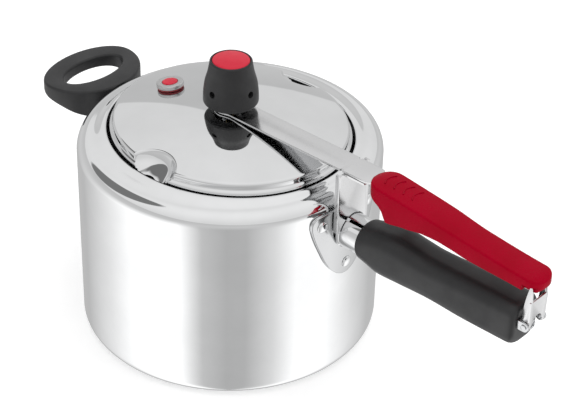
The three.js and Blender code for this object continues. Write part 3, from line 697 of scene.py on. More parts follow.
# ---------------------------------------------------------------- finishes
class Grain(Enum):
    """Which way the fine lines of a metal run."""

    SPUN = "round the axis of the pot"
    ALONG = "along the long handle"
    PLAIN = "in no direction"


def start_material(
    name: str, colour: tuple[float, float, float]
) -> tuple[bpy.types.Material, Board, bpy.types.Node, bpy.types.NodeSocket]:
    """Makes a new material.

    Args:
        name: The material's name.
        colour: Its plain colour.

    Returns:
        The material, its board, its shader and its object coordinates.
    """
    made = bpy.data.materials.new(name)
    made.use_nodes = True
    made.diffuse_color = (*colour, 1.0)
    board = Board(made.node_tree)
    shader = made.node_tree.nodes["Principled BSDF"]
    return made, board, shader, board.add("ShaderNodeTexCoord").outputs["Object"]


@dataclass(frozen=True)
class Metal:
    """Polished or brushed metal with fine tool lines, soft smears and small scratches."""

    name: str
    colour: tuple[float, float, float]
    roughness: tuple[float, float]
    grain: Grain = Grain.PLAIN
    lines: float = 900.0
    depth: float = 0.03

    def material(self) -> bpy.types.Material:
        """Builds the finish as a material, once."""
        made = bpy.data.materials.get(self.name)
        if made:
            return made
        made, board, shader, place = start_material(self.name, self.colour)
        lines = board.noise(self.line_space(board, place), self.lines, 3.0, 0.62)
        smears = board.noise(place, 26.0, 4.0, 0.6)
        cells = {"Vector": place, "Scale": 170.0}
        edges = board.add("ShaderNodeTexVoronoi", cells, feature="DISTANCE_TO_EDGE").outputs["Distance"]
        scratches = board.remap(edges, (0.0, 0.02), (1.0, 0.0))
        rub = board.sum("ADD", board.sum("MULTIPLY", lines, 0.55), board.sum("MULTIPLY", smears, 0.45))
        spread = board.remap(rub, (0.3, 0.7), self.roughness)
        tone = board.remap(smears, (0.35, 0.65))
        dull = tuple(channel * 0.95 for channel in self.colour)
        bump = board.add("ShaderNodeBump", {"Height": lines, "Strength": self.depth, "Distance": 0.0002})
        board.feed(shader.inputs["Base Color"], board.blend(tone, dull, self.colour))
        board.feed(
            shader.inputs["Roughness"], board.sum("ADD", spread, board.sum("MULTIPLY", scratches, 0.02))
        )
        board.feed(shader.inputs["Normal"], bump.outputs[0])
        shader.inputs["Metallic"].default_value = 1.0
        return made

    def line_space(self, board: Board, place: bpy.types.NodeSocket) -> bpy.types.NodeSocket:
        """Coordinates in which the tool lines are drawn out.

        Args:
            board: The material's board.
            place: Object coordinates.

        Returns:
            A vector that changes fast across the lines and slowly along them.
        """
        if self.grain is Grain.PLAIN:
            return place
        axes = board.axes(place)
        if self.grain is Grain.ALONG:
            return board.vector(X=board.sum("MULTIPLY", axes["X"], 0.03), Y=axes["Y"], Z=axes["Z"])
        squares = [board.sum("MULTIPLY", axes[name], axes[name]) for name in ("X", "Y")]
        radius = board.sum("SQRT", board.sum("ADD", *squares))
        turn = board.sum("MULTIPLY", board.sum("ARCTAN2", axes["Y"], axes["X"]), 0.0006)
        return board.vector(X=radius, Y=axes["Z"], Z=turn)


@dataclass(frozen=True)
class Moulding:
    """Moulded plastic or rubber with a fine spark grain, soft colour drift and rubbed patches."""

    name: str
    colour: tuple[float, float, float]
    rubbed: tuple[float, float, float]
    roughness: tuple[float, float]
    grain: float = 1500.0
    depth: float = 0.12
    specular: float = 0.5

    def material(self) -> bpy.types.Material:
        """Builds the finish as a material, once."""
        made = bpy.data.materials.get(self.name)
        if made:
            return made
        made, board, shader, place = start_material(self.name, self.colour)
        pores = board.noise(place, self.grain, 2.0)
        patch = board.remap(board.noise(place, 34.0, 5.0, 0.62), (0.38, 0.66))
        rough = board.remap(patch, (0.0, 1.0), (self.roughness[1], self.roughness[0]))
        specks = board.remap(pores, (0.3, 0.7), (-0.03, 0.03))
        bump = board.add("ShaderNodeBump", {"Height": pores, "Strength": self.depth, "Distance": 0.0001})
        board.feed(shader.inputs["Base Color"], board.blend(patch, self.colour, self.rubbed))
        board.feed(shader.inputs["Roughness"], board.sum("ADD", rough, specks))
        board.feed(shader.inputs["Normal"], bump.outputs[0])
        shader.inputs["Specular IOR Level"].default_value = self.specular
        return made


POLISHED = Metal("spun_pot_metal", (0.86, 0.865, 0.87), (0.03, 0.06), Grain.SPUN, 1300.0, 0.012)
LID_POLISH = Metal("mirror_lid_metal", (0.8, 0.805, 0.81), (0.012, 0.03), Grain.SPUN, 1200.0, 0.006)
PLATE_POLISH = Metal("pressed_plate_metal", (0.62, 0.625, 0.63), (0.1, 0.2), Grain.PLAIN, 700.0, 0.03)
STAINLESS = Metal("brushed_strip_metal", (0.74, 0.74, 0.745), (0.12, 0.24), Grain.ALONG, 1800.0, 0.05)
ZINC = Metal("plated_steel", (0.7, 0.71, 0.72), (0.18, 0.32), Grain.PLAIN, 900.0, 0.05)
SATIN = Metal("satin_valve_metal", (0.62, 0.62, 0.62), (0.38, 0.5), Grain.PLAIN, 1500.0, 0.05)
BRASS = Metal("turned_brass", (0.66, 0.54, 0.32), (0.16, 0.3), Grain.SPUN, 1500.0, 0.04)
BLACK = Moulding("black_moulding", (0.017, 0.017, 0.018), (0.026, 0.026, 0.027), (0.34, 0.46), specular=0.4)
RED = Moulding("red_moulding", (0.33, 0.0, 0.012), (0.37, 0.0, 0.016), (0.26, 0.36), specular=0.04)
CAP_RED = Moulding("bright_red_cap", (0.62, 0.014, 0.04), (0.68, 0.022, 0.05), (0.3, 0.4), specular=0.3)
RUBBER = Moulding("black_seal", (0.016, 0.016, 0.017), (0.024, 0.024, 0.025), (0.55, 0.7), 900.0)
SILICONE = Moulding("white_seal", (0.62, 0.6, 0.55), (0.68, 0.66, 0.62), (0.5, 0.65), 900.0)
RED_SEAL = Moulding("red_seal", (0.3, 0.03, 0.04), (0.36, 0.05, 0.06), (0.5, 0.65), 900.0)

Finish = Metal | Moulding


def fit(piece: bpy.types.Object, finish: Finish, body: str, *nodes: str) -> bpy.types.Object:
    """Dresses a finished piece and hangs it on its body in place of frame nodes.

    Args:
        piece: The plain mesh, at the origin.
        finish: Its finish.
        body: The body that it moves with.
        *nodes: The frame nodes that it stands for.

    Returns:
        The piece.
    """
    piece.data.materials.clear()
    piece.data.materials.append(finish.material())
    for polygon in piece.data.polygons:
        polygon.material_index = 0
    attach(piece, body)
    if nodes:
        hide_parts(*nodes)
    LOG.info("%s: %d faces on %s", piece.name, len(piece.data.polygons), body)
    return piece


def dress(node: str, finish: Finish) -> None:
    """Gives a frame node that stays its finish."""
    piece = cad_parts[node]
    if not piece.material_slots:
        piece.data.materials.append(finish.material())
    for held in piece.material_slots:
        held.material = finish.material()
    LOG.info("%s: kept from the frame", node)


@dataclass
class Workshop:
    """The shared node trees."""

    spinner: Spinner
    riveter: RivetSetter
    ribs: RibRow


def wall_spots(names: Sequence[str], reach: float) -> list[tuple[Vector, Vector]]:
    """Seats of rivets on the pot's wall.

    Args:
        names: The frame nodes of the rivets.
        reach: Distance of the seats from the pot's axis.

    Returns:
        Seat and outward direction of each rivet.
    """
    spots = []
    for name in names:
        low, high = box_mm(name)
        middle = (low + high) / 2
        facing = Vector((middle.x, middle.y, 0)).normalized()
        spots.append((facing * reach + Vector((0, 0, middle.z)), facing))
    return spots


# ---------------------------------------------------------------- pot
@dataclass
class Pot:
    """Spun pot: rounded base, straight wall, shoulder, and a ring that rises to the oval mouth."""

    wall: float = 2.0
    base: float = 3.0
    base_corner: float = 8.0
    shoulder: float = 9.5
    shoulder_top: float = 142.0
    mouth: tuple[float, float] = (85.3, 78.9)
    lip: float = 1.0

    def __post_init__(self) -> None:
        """Takes the overall size from the frame."""
        high = box_mm("pot_body")[1]
        self.radius = high.x
        self.lip_top = high.z

    def build(self, shop: Workshop) -> None:
        """Spins the pot.

        Args:
            shop: The shared node trees.
        """
        seat = self.radius - self.shoulder
        bead = sum(self.mouth) / 2
        inner = self.radius - self.wall
        rows: list[tuple[float, float, float]] = [(0.0, 0.0, 0.0)]

        def add(points: Profile, mark: float = 0.0) -> None:
            """Adds round rows, or fully oval ones."""
            rows.extend((r, z, mark) for r, z in points)

        foot = self.radius - self.base_corner
        add([(foot * share, 0.0) for share in (0.35, 0.7, 0.92)])
        add(arc(foot, self.base_corner, self.base_corner, -90, 0, 14))
        add([(self.radius, z) for z in steps(14, 14, self.shoulder_top - self.shoulder - 3)])
        add(arc(seat, self.shoulder_top - self.shoulder, self.shoulder, 0, 84, 18))
        for share in steps(12, 0.02, 0.98):
            mark = ease(share)
            rise = ease(share) * (self.lip_top - self.shoulder_top)
            rows.append((lerp(seat, bead + self.lip, share), self.shoulder_top + rise, mark))
        add(arc(bead + self.lip, self.lip_top - self.lip, self.lip, 90, 270, 12), 1.0)
        add(arc(seat, self.shoulder_top - self.shoulder, self.shoulder - self.wall, 84, 0, 8))
        corner = self.base_corner - self.base
        add([(inner, z) for z in steps(6, self.shoulder_top - self.shoulder - 3, 12)])
        add(arc(inner - corner, self.base + corner, corner, 0, -90, 7))
        rows.append((0.0, self.base, 0.0))
        oval = (self.mouth[0] - bead, self.mouth[1] - bead)
        piece = shop.spinner.spin(
            "pot_shell",
            [(r, z) for r, z, _ in rows],
            POLISHED.material(),
            256,
            oval,
            [mark for _, _, mark in rows],
        )
        fit(piece, POLISHED, "pot", "pot_body")


# ---------------------------------------------------------------- long handle
@dataclass
class LongHandle:
    """Shield plate, rivets, ferrule, grip and bolt."""

    plate_thickness: float = 1.8
    axis: float = 115.0
    ferrule_wall: float = 1.5
    tube_lip: float = 0.5
    collar_width: float = 3.2
    collar_rise: float = 0.6
    slot_width: float = 2.4
    slot_turn: float = 26.0
    bolt: float = 3.0
    rivet_head: tuple[float, float] = (4.0, 1.7)
    rivet_shank: tuple[float, float] = (2.0, 4.6)
    root_rounding: float = 2.2
    end_rounding: float = 5.2

    def __post_init__(self) -> None:
        """Takes places from the frame."""
        self.wall_radius = box_mm("pot_body")[1].x
        self.plate = box_mm("handle_shield")
        self.tube = box_mm("handle_ferrule")
        self.grip = box_mm("body_grip")

    def build(self, shop: Workshop) -> None:
        """Builds every piece of the handle.

        Args:
            shop: The shared node trees.
        """
        self.shield()
        self.rivets(shop)
        self.ferrule(shop)
        self.body_grip()
        dress("tie_bolt", ZINC)

    def shield_outline(self, share: float) -> tuple[float, float]:
        """Place on the shield's outline.

        Args:
            share: Share of the way round, from the foot.

        Returns:
            Y and Z.
        """
        low, high = self.plate
        width, top, bottom = high.y, high.z, low.z
        side = 1 if share < 0.5 else -1
        along = 2 * (share if share < 0.5 else 1 - share)
        stops = [
            ((0.0, bottom), (9.0, bottom), (17.0, bottom + 10.5), (21.5, bottom + 21)),
            ((21.5, bottom + 21), (25.5, bottom + 30), (28.5, bottom + 37), (width, top - 9.5)),
            ((width, top - 9.5), (width + 0.6, top - 3.4), (width - 2.5, top - 1.2), (width - 7, top - 0.9)),
            ((width - 7, top - 0.9), (width - 14, top - 0.2), (9.0, top), (0.0, top)),
        ]
        spans = (0.0, 0.32, 0.6, 0.78, 1.0)
        k = max(i for i in range(4) if spans[i] <= along)
        t = clamp((along - spans[k]) / (spans[k + 1] - spans[k]))
        weights = ((1 - t) ** 3, 3 * t * (1 - t) ** 2, 3 * t * t * (1 - t), t**3)
        y = sum(w * p[0] for w, p in zip(weights, stops[k]))
        z = sum(w * p[1] for w, p in zip(weights, stops[k]))
        return side * min(y, width), z

    def shield(self) -> None:
        """Plate bent to the pot's wall, with rounded edges."""
        count = 144
        low, high = self.plate
        middle = Vector((0.0, (low.z + high.z) / 2 + 4))
        outline = [Vector(self.shield_outline(i / count)) for i in range(count)]
        inner = self.wall_radius + FIT
        edge = 0.8
        outside = (1e-4, 0.25, 0.5, 0.75, 0.9)
        rings = [[(middle.lerp(spot, share), self.plate_thickness) for spot in outline] for share in outside]
        for inset, depth in arc(-edge, self.plate_thickness - edge, edge, 90, 0, 6):
            rings.append([(self.pulled(spot, middle, -inset), depth) for spot in outline])
        for share in (1.0, 0.75, 0.4, 1e-4):
            rings.append([(middle.lerp(spot, share), 0.0) for spot in outline])
        skins = [[self.on_wall(spot, inner + depth) for spot, depth in ring] for ring in rings]
        fit(skin("shield_plate", skins), PLATE_POLISH, "pot", "handle_shield")

    @staticmethod
    def pulled(spot: Vector, middle: Vector, inset: float) -> Vector:
        """Outline point moved towards the middle by an inset."""
        span = (spot - middle).length
        return middle.lerp(spot, 1 - inset / span)

    @staticmethod
    def on_wall(spot: Vector, radius: float) -> Point:
        """Point on the wall's cylinder above a Y and Z."""
        return (math.sqrt(radius * radius - spot.x * spot.x), spot.x, spot.y)

    def rivets(self, shop: Workshop) -> None:
        """Three domed rivets that hold the shield on the wall.

        Args:
            shop: The shared node trees.
        """
        names = ("shield_rivet_near", "shield_rivet_far", "shield_rivet_low")
        spots = wall_spots(names, self.wall_radius + FIT + self.plate_thickness + 0.05)
        metal = POLISHED.material()
        piece = shop.riveter.set("shield_rivets", spots, metal, self.rivet_head, self.rivet_shank)
        fit(piece, POLISHED, "pot", *names)

    def ferrule(self, shop: Workshop) -> None:
        """Tube with a collar at its root and one slot along its upper near side.

        Args:
            shop: The shared node trees.
        """
        low, high = self.tube
        collar = high.y
        lip = self.tube_lip
        outer = collar - self.collar_rise
        length = high.x - low.x
        way = self.bolt + FIT
        floor = 3.5
        profile = [
            (way, 0.0),
            (collar - lip, 0.0),
            *arc(collar - lip, lip, lip, -90, 0, 5),
            (collar, 1.2),
            *arc(collar, 2.4, 0.8, 220, 180, 4),
            (outer, self.collar_width),
            *[(outer, x) for x in steps(5, 4.4, length - 1)],
            *arc(outer - lip, length - lip, lip, 0, 90, 5),
            (outer - self.ferrule_wall, length),
            (outer - self.ferrule_wall, floor),
            (way, floor),
            (way, 0.0),
        ]
        tube = shop.spinner.spin("ferrule_tube", profile, POLISHED.material(), 96)
        turn = Matrix.Rotation(math.radians(90), 4, "Y")
        placed(tube, Matrix.Translation((low.x, 0, self.axis)) @ turn)
        half = self.slot_width / 2
        slot = block("slot", (low.x + 2.2, -half, outer - 3), (high.x + 1, half, outer + 2))
        lean = Matrix.Rotation(math.radians(self.slot_turn), 4, "X")
        placed(slot, Matrix.Translation((0, 0, self.axis)) @ lean)
        fit(cut(tube, slot), POLISHED, "pot", "handle_ferrule")

    def body_grip(self) -> None:
        """Soft rounded bar with a fuller root and a shallow dip along its top."""
        low, high = self.grip
        length = high.x - low.x
        width = high.y - low.y
        tops = SmoothTable(
            [
                (0, 127.8),
                (7, 129.4),
                (16, 131.2),
                (27, 132.2),
                (40, 131),
                (54, 129.8),
                (84, 130.4),
                (105, 131),
                (124, 130.8),
            ]
        )
        bottoms = SmoothTable(
            [
                (0, 101.8),
                (7, 100.4),
                (18, 98.6),
                (34, 99.4),
                (60, 100.4),
                (84, 99.8),
                (105, 100.2),
                (124, 100.6),
            ]
        )
        widths = SmoothTable(
            [(0, -1.6), (7, -0.8), (18, 0), (34, -0.6), (60, -1.2), (84, -1), (105, -0.8), (124, -1)]
        )
        corners = SmoothTable([(0, 12.8), (7, 12.6), (18, 11.6), (34, 10.6), (60, 10), (84, 9.4), (124, 8.4)])
        rings = []
        for along in self.grip_stations(length):
            shrink = self.end_round(along, self.root_rounding)
            shrink += self.end_round(length - along, self.end_rounding)
            top = tops(along) - shrink
            bottom = bottoms(along) + shrink
            radius = corners(along)
            section = rounded_section(
                width + widths(along) - 2 * shrink, top - bottom, (radius, radius), 13
            )
            rings.append([(low.x + along, y, (top + bottom) / 2 + z) for y, z in section])
        grip = skin("grip_moulding", rings)
        root = Vector((low.x, 0, self.axis))
        overcut = Vector((1, 0, 0))
        tube_end = Vector((self.tube[1].x + FIT, 0, self.axis))
        grip_end = Vector((high.x, 0, self.axis))
        socket = rod("socket", self.tube[1].y - 0.3, root - overcut, tube_end, 96)
        bolt_way = rod("bolt_way", self.bolt + FIT, root, grip_end + overcut)
        fit(cut(grip, socket, bolt_way), BLACK, "pot", "body_grip")

    @staticmethod
    def grip_stations(length: float) -> list[float]:
        """Places along the grip, closer together at its rounded ends."""
        near = [0, 0.25, 0.6, 1.1, 1.7, 2.4]
        far = [length - back for back in (6, 4.6, 3.4, 2.4, 1.5, 0.8, 0.35, 0.1, 0)]
        return near + steps(48, 4, length - 8) + far

    @staticmethod
    def end_round(distance: float, radius: float) -> float:
        """How far the section pulls in at a distance from an end."""
        left = clamp(1 - distance / radius)
        return radius * 0.72 * (1 - math.sqrt(1 - left * left))


@dataclass
class Latch:
    """Swinging clip at the grip's end, with its bracket and pins."""

    gauge: float = 1.2
    eye: float = 3.2
    bolt_room: float = 4.8
    rise: float = 11.0
    bulge: float = 2.6
    half_width: float = 8.0
    ear: float = 3.1
    pin: float = 1.2
    pin_head: float = 1.9
    pin_room: float = 1.5

    def build(self) -> None:
        """Builds the clip, its bracket and its pins."""
        high = box_mm("latch_clip")[1]
        pin_low, pin_high = box_mm("latch_pin_near")
        pivot = Vector(((pin_low.x + pin_high.x) / 2, 0, (pin_low.z + pin_high.z) / 2))
        half = self.half_width
        web_x = high.x - self.gauge
        foot = pivot.z - 1.4
        ledge = high.z - self.rise
        web = [
            (-half, foot),
            *arc(0, pivot.z + 1.5, self.bolt_room, 180, 0, 16),
            (half, foot),
            (half + 0.6, ledge),
            (-half - 0.6, ledge),
        ]
        clip = prism("latch_clip_strip", web, web_x, high.x, lambda y, z, x: (x, y, z))
        back = pivot.x - self.eye
        cheek = [
            *arc(pivot.x, pivot.z, self.eye, 170, 330, 14),
            (high.x, pivot.z),
            (high.x, ledge),
            (high.x - 0.6, high.z - 1.2),
            (high.x - 1.4, high.z),
            *[
                (lerp(high.x - 2.2, back, share) - self.belly(share), lerp(high.z, pivot.z, share * 0.96))
                for share in steps(12, 0.02, 0.98)
            ],
        ]
        inner = half - self.gauge
        cheeks = [
            prism(f"cheek_{side}", cheek, side * inner, side * half, lambda x, z, y: (x, y, z))
            for side in (-1, 1)
        ]
        join(clip, *cheeks)
        cut(clip, self.drill(pivot))
        fit(round_edges(clip, 0.3, 2), STAINLESS, "latch", "latch_clip")
        self.bracket(pivot)
        self.pins(pivot)

    def belly(self, share: float) -> float:
        """How far the cheek's rear edge bows out at a share of its way down."""
        return self.bulge * math.sin(math.pi * share / 2) * (1 - share)

    def drill(self, pivot: Vector) -> bpy.types.Object:
        """Bar along the clip's axis, to cut the holes for its pins."""
        reach = Vector((0, 20, 0))
        return rod("drill", self.pin_room, pivot - reach, pivot + reach, 24)

    def bracket(self, pivot: Vector) -> None:
        """Small bracket on the grip's end, with an ear on each side of the clip.

        Args:
            pivot: A point on the clip's axis, in the middle plane.
        """
        face = box_mm("body_grip")[1].x + FIT
        inner = self.half_width + FIT
        outer = inner + self.gauge
        low = pivot.z - 3
        plate = block("plate", (face, -outer, low), (face + self.gauge, outer, pivot.z + self.ear))
        ear = [(face, low), *arc(pivot.x, pivot.z, self.ear, -90, 90, 14), (face, pivot.z + self.ear)]
        for side in (-1, 1):
            join(plate, prism("ear", ear, side * inner, side * outer, lambda x, z, y: (x, y, z)))
        ferrule_low, ferrule_high = box_mm("handle_ferrule")
        bolt = Vector((face, 0, (ferrule_low.z + ferrule_high.z) / 2))
        hole = rod("hole", 3.3, bolt - Vector((2, 0, 0)), bolt + Vector((4, 0, 0)))
        cut(plate, hole, self.drill(pivot))
        fit(round_edges(plate, 0.25, 2), ZINC, "pot", "latch_bracket")

    def pins(self, pivot: Vector) -> None:
        """Two short headed pins through the ears.

        Args:
            pivot: A point on the clip's axis, in the middle plane.
        """
        ear_face = self.half_width + FIT + self.gauge
        for side, node in ((-1, "latch_pin_near"), (1, "latch_pin_far")):
            start = pivot + Vector((0, side * (self.half_width + FIT - 2.2), 0))
            seat = pivot + Vector((0, side * (ear_face + 0.1), 0))
            pin = rod(f"{node}_shank", self.pin, start, seat, 32)
            head = rod("head", self.pin_head, seat, seat + Vector((0, side * 0.7, 0)), 32)
            fit(round_edges(join(pin, head), 0.25, 2), ZINC, "pot", node)


# ---------------------------------------------------------------- helper handle
@dataclass
class HelperHandle:
    """Moulded loop, broad where it meets the pot, that deepens from its tip towards its root."""

    centre: float = -137.7
    tip_reach: float = 23.3
    root_reach: float = 33.0
    half_width: float = 38.0
    hole: tuple[float, float, float] = (-134.0, 12.8, 25.5)
    wall_room: float = 105.5
    edge: float = 1.7
    lug_half: tuple[float, float] = (9.3, 1.05)
    head_room: float = 4.3
    shank_room: float = 2.5
    head_height: float = 2.8
    rivet_reach: float = 103.85
    rivet_head: tuple[float, float] = (3.6, 1.2)
    rivet_shank: tuple[float, float] = (2.0, 4.4)

    def __post_init__(self) -> None:
        """Takes the height from the frame, and sets how the underside rises towards the tip."""
        low, high = box_mm("helper_handle")
        self.top = high.z
        tip = low.x
        self.underside = SmoothTable(
            [
                (tip - 1, self.top - 7.8),
                (tip + 12, self.top - 8.6),
                (tip + 22, self.top - 10.4),
                (tip + 32, self.top - 13),
                (tip + 43, self.top - 18),
                (tip + 60, self.top - 25),
            ]
        )

    def build(self, shop: Workshop) -> None:
        """Builds the loop and opens it for the wall, the bracket and the screw.

        Args:
            shop: The shared node trees.
        """
        loop = self.loop()
        low, high = box_mm("helper_bracket")
        level = (low.z + high.z) / 2
        half_y, half_z = self.lug_half
        lug = block("lug", (low.x - FIT, -half_y, level - half_z), (-100, half_y, level + half_z))
        screw_low, screw_high = box_mm("helper_screw")
        screw_x = (screw_low.x + screw_high.x) / 2

        def bore(name: str, radius: float, x: float, z: tuple[float, float], sides: int) -> bpy.types.Object:
            """Upright bar to cut with."""
            return rod(name, radius, Vector((x, 0, z[0])), Vector((x, 0, z[1])), sides)

        wall = bore("wall", self.wall_room, 0, (90, 150), 256)
        seat = screw_low.z + self.head_height
        counterbore = bore("counterbore", self.head_room, screw_x, (90, seat), 32)
        way = bore("way", self.shank_room, screw_x, (100, self.top - 8), 32)
        cut(loop, wall, lug, counterbore, way)
        fit(loop, BLACK, "pot", "helper_handle")
        dress("helper_bracket", ZINC)
        dress("helper_screw", ZINC)
        self.rivets(shop)

    def loop(self) -> bpy.types.Object:
        """The loop itself: a rounded section carried round between its outline and its finger hole."""
        rings = []
        count = 180
        for i in range(count):
            angle = 2 * math.pi * i / count
            cos, sin = math.cos(angle), math.sin(angle)
            reach = self.root_reach if cos > 0 else self.tip_reach
            outer = Vector((self.centre + reach * cos, self.half_width * sin))
            inner = Vector((self.hole[0] + self.hole[1] * cos, self.hole[2] * sin))
            rings.append(self.section(outer, inner))
        return skin("helper_loop", rings, looped=True)

    def section(self, outer: Vector, inner: Vector) -> list[Point]:
        """One upright section of the loop.

        Args:
            outer: X and Y on the loop's outline.
            inner: X and Y on the finger hole's edge.

        Returns:
            The section's points.
        """
        width = (inner - outer).length
        middle = outer.lerp(inner, 0.5)
        across = (inner - outer) / width
        floor_outer = self.underside(outer.x)
        floor_inner = self.underside(inner.x)
        depth = self.top - (floor_outer + floor_inner) / 2
        points = []
        for s, z in rounded_section(width, depth, (self.edge, 1.4), 6):
            spot = middle + across * s
            tilt = (floor_inner - floor_outer) * (s / width) * clamp(0.5 - z / depth)
            points.append((spot.x, spot.y, self.top - depth / 2 + z + tilt))
        return points

    def rivets(self, shop: Workshop) -> None:
        """Two rivets that hold the bracket on the wall.

        Args:
            shop: The shared node trees.
        """
        names = ("helper_rivet_near", "helper_rivet_far")
        spots = wall_spots(names, self.rivet_reach)
        metal = POLISHED.material()
        piece = shop.riveter.set("helper_rivets", spots, metal, self.rivet_head, self.rivet_shank)
        fit(piece, POLISHED, "pot", *names)


# ---------------------------------------------------------------- lid
@dataclass
class Lid:
    """Drawn lid: flat flange, raised plateau with two bowl-shaped bites, and a domed top."""

    plateau: tuple[float, float] = (82.8, 74.8)
    wall: tuple[float, float] = (83.8, 77.0)
    dome_rise: float = 9.5
    edge_height: float = 151.4
    sheet: float = 2.0
    bite_offset: float = 2.5
    bite_outside: float = 6.5
    bite_floor: float = 6.0
    bite_start: float = 0.42
    bite_top: float = 19.2
    vent_hole: float = 5.3
    corner: float = 1.8
    step: float = 2.2
    foot: float = 3.6

    def __post_init__(self) -> None:
        """Takes the flange from the frame."""
        low, high = box_mm("lid_shell")
        self.flange = (high.x, high.y)
        self.flange_low = low.z
        self.flange_top = low.z + self.sheet

    def dome(self, x: float, y: float) -> float:
        """Height of the dome's top at a place."""
        share = (x / self.plateau[0]) ** 2 + (y / self.plateau[1]) ** 2
        return self.edge_height + self.dome_rise * (1 - share)

    def reach(self, angle: float, inset: float, height: float, grow: float) -> float:
        """Distance from the centre to the plateau's wall.

        Args:
            angle: Direction in radians.
            inset: How far the wall stands in from the plateau's foot.
            height: Share of the wall's height, which widens the bites.
            grow: Sheet thickness to add round the bites for the inner skin.

        Returns:
            The distance.
        """
        cos, sin = math.cos(angle), math.sin(angle)
        rx, ry = self.wall[0] - inset, self.wall[1] - inset
        far = 1 / math.sqrt((cos / rx) ** 2 + (sin / ry) ** 2)
        rise = clamp((height - self.bite_start) / (1 - self.bite_start))
        bowl = math.sqrt(1 - (1 - rise) ** 2)
        edge = max(0.0, inset - grow - self.step) * 0.8
        radius = lerp(self.bite_floor, self.bite_top, bowl) + grow + edge
        side = 1 if sin > 0 else -1
        centre = Vector((-side * self.bite_offset, side * (self.plateau[1] + self.bite_outside)))
        along = centre.x * cos + centre.y * sin
        miss = centre.length_squared - along * along
        if along <= 0 or miss >= radius * radius:
            return far
        return smooth_min(far, along - math.sqrt(radius * radius - miss), self.corner)

    def angles(self) -> list[float]:
        """Directions round the lid, closer together at the two bites."""
        turns = [i / 200 for i in range(200)]
        for middle in (0.25, 0.75):
            turns += [middle + offset for offset in steps(181, -0.052, 0.052)]
        return [2 * math.pi * turn for turn in sorted(set(round(turn, 5) for turn in turns))]

    def wall_rows(self) -> list[tuple[float, float]]:
        """Inset and share of height of each row of the plateau's wall, with its small step."""
        reach = self.foot / (self.edge_height - self.flange_top)
        turns = steps(8, 0, math.pi / 2)
        foot = [(self.foot * (math.sin(t) - 1), reach * (1 - math.cos(t))) for t in turns]
        step = [
            (0.0, 0.42),
            (0.06, 0.5),
            (0.2, 0.57),
            (0.45, 0.61),
            (1.0, 0.65),
            (1.6, 0.67),
            (2.0, 0.69),
            (2.15, 0.73),
        ]
        crown = [(self.step + 1.5 * (1 - math.cos(t)), 0.86 + 0.14 * math.sin(t)) for t in turns]
        return foot + step + crown

    def ring(self, inset: float, share: float, grow: float, drop: float) -> list[Point]:
        """One ring of the wall."""
        points = []
        for angle in self.angles():
            radius = self.reach(angle, inset, share, grow)
            x, y = radius * math.cos(angle), radius * math.sin(angle)
            top = self.dome(x, y)
            points.append((x, y, lerp(self.flange_top, top, share) - drop))
        return points

    def dome_ring(self, edge: list[Point], share: float, drop: float) -> list[Point]:
        """One ring of the dome, a share of the way from its edge to the vent's hole."""
        points = []
        for x, y, _ in edge:
            length = math.hypot(x, y)
            radius = lerp(length, self.vent_hole, share)
            a, b = x / length * radius, y / length * radius
            points.append((a, b, self.dome(a, b) - drop))
        return points

    def flange_ring(self, inset: float, height: float) -> list[Point]:
        """One ring of the flange."""
        rx, ry = self.flange[0] - inset, self.flange[1] - inset
        rings = []
        for angle in self.angles():
            radius = 1 / math.sqrt((math.cos(angle) / rx) ** 2 + (math.sin(angle) / ry) ** 2)
            rings.append((radius * math.cos(angle), radius * math.sin(angle), height))
        return rings

    def build(self) -> None:
        """Builds the shell with the hole of the relief valve, and the gasket."""
        top, low = self.flange_top, self.flange_low
        rim = [
            (0.6, low),
            (0.15, low + 0.2),
            (0.0, low + 0.6),
            (0.0, top - 0.6),
            (0.15, top - 0.2),
            (0.6, top),
        ]
        rings = [self.flange_ring(inset, height) for inset, height in rim]
        outside = [self.ring(inset, share, 0.0, 0.0) for inset, share in self.wall_rows()]
        rings += outside
        shares = [0.02, 0.05, 0.1, 0.16, 0.24, 0.33, 0.43, 0.54, 0.65, 0.76, 0.87, 1.0]
        rings += [self.dome_ring(outside[-1], share, 0.0) for share in shares]
        inside = [self.ring(inset + self.sheet, share, self.sheet, self.sheet) for inset, share in
                  ((-0.6, 0.0), (0.0, 0.1), (0.6, 0.6), (2.2, 0.74), (2.8, 0.9), (4.0, 1.0))]
        rings += [self.dome_ring(inside[-1], share, self.sheet) for share in (1.0, 0.75, 0.5, 0.25, 0.08)]
        rings += list(reversed(inside))
        shell = skin("lid_pressing", rings, looped=True)
        fit(cut(shell, self.relief_drill()), LID_POLISH, "lid", "lid_shell")
        self.gasket()

    def gasket(self) -> None:
        """Soft ring on the flange, under the pot's mouth."""
        low, high = self.flange_top + FIT, self.flange_top + 3.5
        section = [
            (5.6, low),
            (8.8, low),
            (8.8, low + 1.6),
            (7.4, high - 0.4),
            (6.2, high),
            (5.6, high - 0.6),
        ]
        rings = [self.flange_ring(8.8 + 0.4 - out, height) for out, height in section]
        fit(skin("lid_seal_ring", rings, looped=True), RUBBER, "lid", "lid_gasket")

    def relief_drill(self) -> bpy.types.Object:
        """Bar through the relief valve's place, square to the dome."""
        centre, normal = relief_seat(self)
        return rod("relief_drill", 4.5, centre - normal * 12, centre + normal * 12)


def relief_seat(lid: Lid) -> tuple[Vector, Vector]:
    """Place of the relief valve on the dome, and the dome's normal there."""
    low, high = box_mm("relief_gasket")
    x, y = (low.x + high.x) / 2, (low.y + high.y) / 2
    slope_x = 2 * lid.dome_rise * x / lid.plateau[0] ** 2
    slope_y = 2 * lid.dome_rise * y / lid.plateau[1] ** 2
    normal = Vector((slope_x, slope_y, 1)).normalized()
    return Vector((x, y, lid.dome(x, y))), normal


